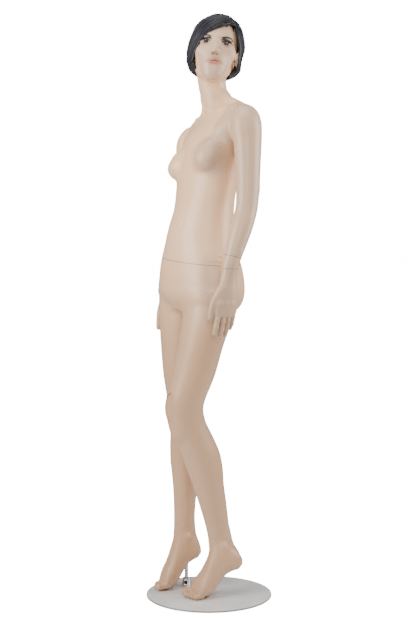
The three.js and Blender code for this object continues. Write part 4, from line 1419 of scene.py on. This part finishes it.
def with_uv(made, uv):
    loops = np.empty(len(made.data.loops), np.int32)
    made.data.loops.foreach_get("vertex_index", loops)
    layer = made.data.uv_layers.new(name="along")
    layer.data.foreach_set("uv", uv[loops].astype(np.float32).ravel())
    return made


def close_ends(made):
    """Closes the open tube ends of a mesh and points its faces outwards."""
    bm = bmesh.new()
    bm.from_mesh(made.data)
    bmesh.ops.holes_fill(bm, edges=[e for e in bm.edges if e.is_boundary], sides=12)
    bmesh.ops.recalc_face_normals(bm, faces=bm.faces)
    bm.to_mesh(made.data)
    bm.free()
    return made


def head_to_world(points):
    place = np.array(head_frame())
    return world_mm(points @ place[:3, :3].T + place[:3, 3])


class Wig(bpy.types.Operator):
    """A chin length bob: the hair's volume with locks swept from the parting over it"""
    bl_idname = "mannequin.wig"
    bl_label = "Wig"

    def execute(self, context):
        settings = context.scene.mannequin_wig
        fibre = hair_material(settings)
        points, quads = surface(wig_form(), (-95, -105, -95), (105, 120, 125), 3.2, 3)
        made = mesh_object("wig_volume", head_to_world(points), quads, fibre)
        uv = np.stack([np.arctan2(points[:, 0], -points[:, 1]) * 2, points[:, 2] / 90], -1)
        with_uv(made, uv)
        dressed(made, "torso", "wig_hair", slot="hair_fibre")
        rng = np.random.default_rng(4)
        paths = lock_paths(settings.locks, 13, rng)
        points, quads, uv = locks_mesh(paths, 4.6, 1.5, rng)
        locks = mesh_object("wig_locks", head_to_world(points), quads, fibre)
        close_ends(with_uv(locks, uv))
        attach(locks, "torso")
        return {"FINISHED"}


class Lashes(bpy.types.Operator):
    """A fan of curved lashes along each painted upper lid"""
    bl_idname = "mannequin.lashes"
    bl_label = "Eyelashes"

    def execute(self, context):
        black, g, shader, position = material("Lash fibre", Roughness=0.5)
        mottle = placed(g, mottle_group(), Position=position)
        g.put(shader, "Base Color", g.mix(mottle.outputs["Tint"], (0.004, 0.003, 0.003, 1),
                                          (0.012, 0.008, 0.007, 1)))
        face = head_form()
        count, along = 26, 6
        dx = np.linspace(-12.5, 14.5, count)
        for name, s in (("left", 1), ("right", -1)):
            lid = EYE_Z - 8.6 + 15.6 * np.sqrt(1 - np.clip(dx / 19.5, -0.95, 0.95) ** 2)
            root = np.stack([s * (EYE_X + dx), np.full(count, -84.0), lid], -1)
            root = onto(face, root, 4, 3.0)
            length = 5.5 + 3.5 * (dx + 12.5) / 27
            way = np.stack([s * (0.05 + dx * 0.045), np.full(count, -0.85),
                            np.full(count, 0.12)], -1)
            t = np.linspace(0, 1, along)[None, :, None]
            paths = (root[:, None] + way[:, None] * length[:, None, None] * t
                     + np.array([0, 0, 0.42]) * length[:, None, None] * t * t)
            rng = np.random.default_rng(7)
            points, quads, _ = locks_mesh(paths, 0.55, 0.55, rng, 4)
            made = mesh_object(f"lash_fan_{name}", head_to_world(points), quads, black)
            close_ends(made)
            dressed(made, "torso", f"eyelash_{name}", slot="lash_fibre")
        return {"FINISHED"}


# ---------------------------------------------------------------- base and hardware
class Base(bpy.types.Operator):
    """The brushed plate, the chromed rod and its collar, turned round their axes"""
    bl_idname = "mannequin.base"
    bl_label = "Base plate, rod and collar"

    def execute(self, context):
        steel = steel_material(context.scene.mannequin_base)
        chrome = metal_material("Chrome", (0.80, 0.80, 0.81), 0.08, 0.05, 60)
        low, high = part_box("base_plate")
        radius, tall = (high[0] - low[0]) / 2, high[2] - low[2]
        edge = 0.0012
        rim = [(0, 0), (radius - edge, 0), (radius, edge / tall), (radius, 1 - edge / tall),
               (radius - 0.4 * edge, 1 - 0.3 * edge / tall), (radius - edge, 1), (0, 1)]
        plate = turned("plate_disc", rim, (0, 0, low[2]), (0, 0, high[2]), 256, steel)
        dressed(plate, "base", "base_plate", slot="brushed_steel")
        low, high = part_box("support_rod")
        x, y, radius = (low[0] + high[0]) / 2, (low[1] + high[1]) / 2, (high[0] - low[0]) / 2
        tall = high[2] - low[2]
        shaft = [(0, 0), (radius - 0.001, 0), (radius, 0.001 / tall), (radius, 1 - 0.001 / tall),
                 (radius - 0.001, 1), (0, 1)]
        made = turned("rod_chromed", shaft, (x, y, low[2]), (x, y, high[2]), 64, chrome)
        dressed(made, "rod", "support_rod", slot="chrome")
        low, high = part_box("rod_collar")
        outer, tall = (high[1] - low[1]) / 2, high[2] - low[2]
        hole = radius + 0.0004
        ring = [(hole, 0), (outer, 0), (outer, 1 - 0.0016 / tall), (outer - 0.0016, 1),
                (hole + 0.0008, 1), (hole, 1 - 0.0008 / tall), (hole, 0)]
        made = turned("collar_chromed", ring, (x, y, low[2]), (x, y, high[2]), 96, chrome)
        screw = np.array(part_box("collar_set_screw"))
        middle = Vector(screw.mean(0))
        way = Vector(JOINTS["set_screw_travel"]["axis"]).normalized()
        if way.dot(middle - Vector((x, y, middle.z))) < 0:
            way = -way
        bored(made, Vector((x, y, middle.z)) + way * 0.003,
              Vector((x, y, middle.z)) + way * (outer + 0.004), 0.0043)
        dressed(made, "base", "rod_collar", slot="chrome")
        return {"FINISHED"}


class Hardware(bpy.types.Operator):
    """Materials of the parts shown as they are in the frame: screws, studs, plates, pad"""
    bl_idname = "mannequin.hardware"
    bl_label = "Hardware"

    def execute(self, context):
        zinc = metal_material("Zinc plated steel", (0.62, 0.63, 0.62), 0.28, 0.14, 90)
        black = metal_material("Blackened steel", (0.035, 0.035, 0.038), 0.36, 0.12, 90)
        foam = dull_material("Backing foam", (0.02, 0.02, 0.021), (0.05, 0.05, 0.05), 0.9, 900, 0.4)
        board = dull_material("Pressed cover board", (0.16, 0.1, 0.055), (0.27, 0.18, 0.105),
                              0.72, 700, 0.2)
        finishes = {"base_backing_pad": foam, "collar_set_screw": black,
                    "collar_fixing_screw": black, "wig_cap": net_material()}
        for name, node in frame["nodes"].items():
            finish = finishes.get(name, board if "_plate_" in name else zinc)
            node.data.materials.clear()
            node.data.materials.append(finish)
        return {"FINISHED"}


# ---------------------------------------------------------------- stage
def area_light(name, place, aim, size, power):
    data = bpy.data.lights.new(name, "AREA")
    data.shape = "RECTANGLE"
    data.size, data.size_y = size
    data.energy = power
    data.color = (1.0, 0.985, 0.965)
    made = bpy.data.objects.new(name, data)
    made.location = place
    made.rotation_euler = (Vector(aim) - Vector(place)).to_track_quat("-Z", "Y").to_euler()
    bpy.context.scene.collection.objects.link(made)


class Stage(bpy.types.Operator):
    """A pale floor, soft lights, a white surround and the camera"""
    bl_idname = "mannequin.stage"
    bl_label = "Stage"

    def execute(self, context):
        settings = context.scene.mannequin_stage
        pale, g, shader, _ = material("Pale floor", Roughness=0.9)
        g.put(shader, "Base Color", (0.93, 0.93, 0.93, 1))
        g.put(shader, "Emission Color", (1, 1, 1, 1))
        seen = g.node("ShaderNodeLightPath").outputs["Is Camera Ray"]
        g.put(shader, "Emission Strength", g.math("MULTIPLY", seen, 16.0))
        corners = np.array([[-9, -9, 0], [9, -9, 0], [9, 9, 0], [-9, 9, 0]], float)
        floor = mesh_object("floor", corners, [[0, 1, 2, 3]], pale)
        floor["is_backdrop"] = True
        world = bpy.data.worlds.new("Surround")
        world.use_nodes = True
        background = world.node_tree.nodes["Background"]
        background.inputs["Color"].default_value = (1, 1, 1, 1)
        seen = Graph(world.node_tree)
        ray = seen.node("ShaderNodeLightPath").outputs["Is Camera Ray"]
        seen.put(background, "Strength", seen.ranged(ray, 0, 1, settings.surround, 16.0))
        context.scene.world = world
        azimuth = settings.camera_azimuth
        toward = Vector((math.sin(azimuth), -math.cos(azimuth), 0))
        right = Vector((math.cos(azimuth), math.sin(azimuth), 0))
        middle = Vector((0, 0, 1.0))
        lights = (("left", 0.9, -1.35, 0.62, (0.9, 1.5), 48),
                  ("right", 0.1, 1.6, 0.55, (0.9, 1.5), 38),
                  ("front", 2.4, 0.2, 1.0, (1.0, 1.0), 18),
                  ("top", 0.4, 0.0, 1.9, (1.2, 1.2), 24))
        for name, near, aside, high, size, power in lights:
            place = middle + toward * near + right * aside + Vector((0, 0, high))
            area_light(name, place, middle + Vector((0, 0, 0.35)), size, power)
        data = bpy.data.cameras.new("view")
        data.lens = settings.lens
        data.sensor_width = 36
        camera = bpy.data.objects.new("view", data)
        camera.location = toward * settings.camera_distance + Vector(
            (0, 0, settings.camera_height))
        camera.rotation_euler = (math.pi / 2 - settings.camera_pitch, 0, azimuth)
        context.scene.collection.objects.link(camera)
        context.scene.camera = camera
        return {"FINISHED"}


class Panel(bpy.types.Panel):
    """Lists the pieces in the sidebar"""
    bl_idname = "VIEW3D_PT_mannequin"
    bl_label = "Shop mannequin"
    bl_space_type = "VIEW_3D"
    bl_region_type = "UI"
    bl_category = "Mannequin"

    def draw(self, context):
        for name, _ in SETTINGS:
            settings = getattr(context.scene, name)
            for key in settings.__annotations__:
                self.layout.prop(settings, key)
        for operator in STEPS:
            self.layout.operator(operator.bl_idname)


SETTINGS = (("mannequin_figure", FigureSettings), ("mannequin_wig", WigSettings),
            ("mannequin_base", BaseSettings), ("mannequin_stage", StageSettings))
STEPS = (Hardware, LowerBody, Torso, Arms, Hands, Wig, Lashes, Base, Stage)


def register():
    for name, settings in SETTINGS:
        bpy.utils.register_class(settings)
        setattr(bpy.types.Scene, name, PointerProperty(type=settings))
    for kind in (*STEPS, Panel):
        bpy.utils.register_class(kind)


def unregister():
    for kind in (Panel, *reversed(STEPS)):
        bpy.utils.unregister_class(kind)
    for name, settings in reversed(SETTINGS):
        delattr(bpy.types.Scene, name)
        bpy.utils.unregister_class(settings)


def visual_box():
    """The lowest and highest corners of every piece that is part of the object."""
    graph = bpy.context.evaluated_depsgraph_get()
    lows, highs = [], []
    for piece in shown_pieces():
        mesh = piece.evaluated_get(graph).to_mesh()
        place = np.empty(len(mesh.vertices) * 3, np.float32)
        mesh.vertices.foreach_get("co", place)
        place = place.reshape(-1, 3)
        lows.append(place.min(0))
        highs.append(place.max(0))
    return [np.min(lows, 0).tolist(), np.max(highs, 0).tolist()]


def main():
    register()
    for operator in STEPS:
        family, name = operator.bl_idname.split(".")
        getattr(getattr(bpy.ops, family), name)()
    {"cad": [list(corner) for corner in CAD_BOX], "visual": visual_box()}


if __name__ == "__main__":
    main()
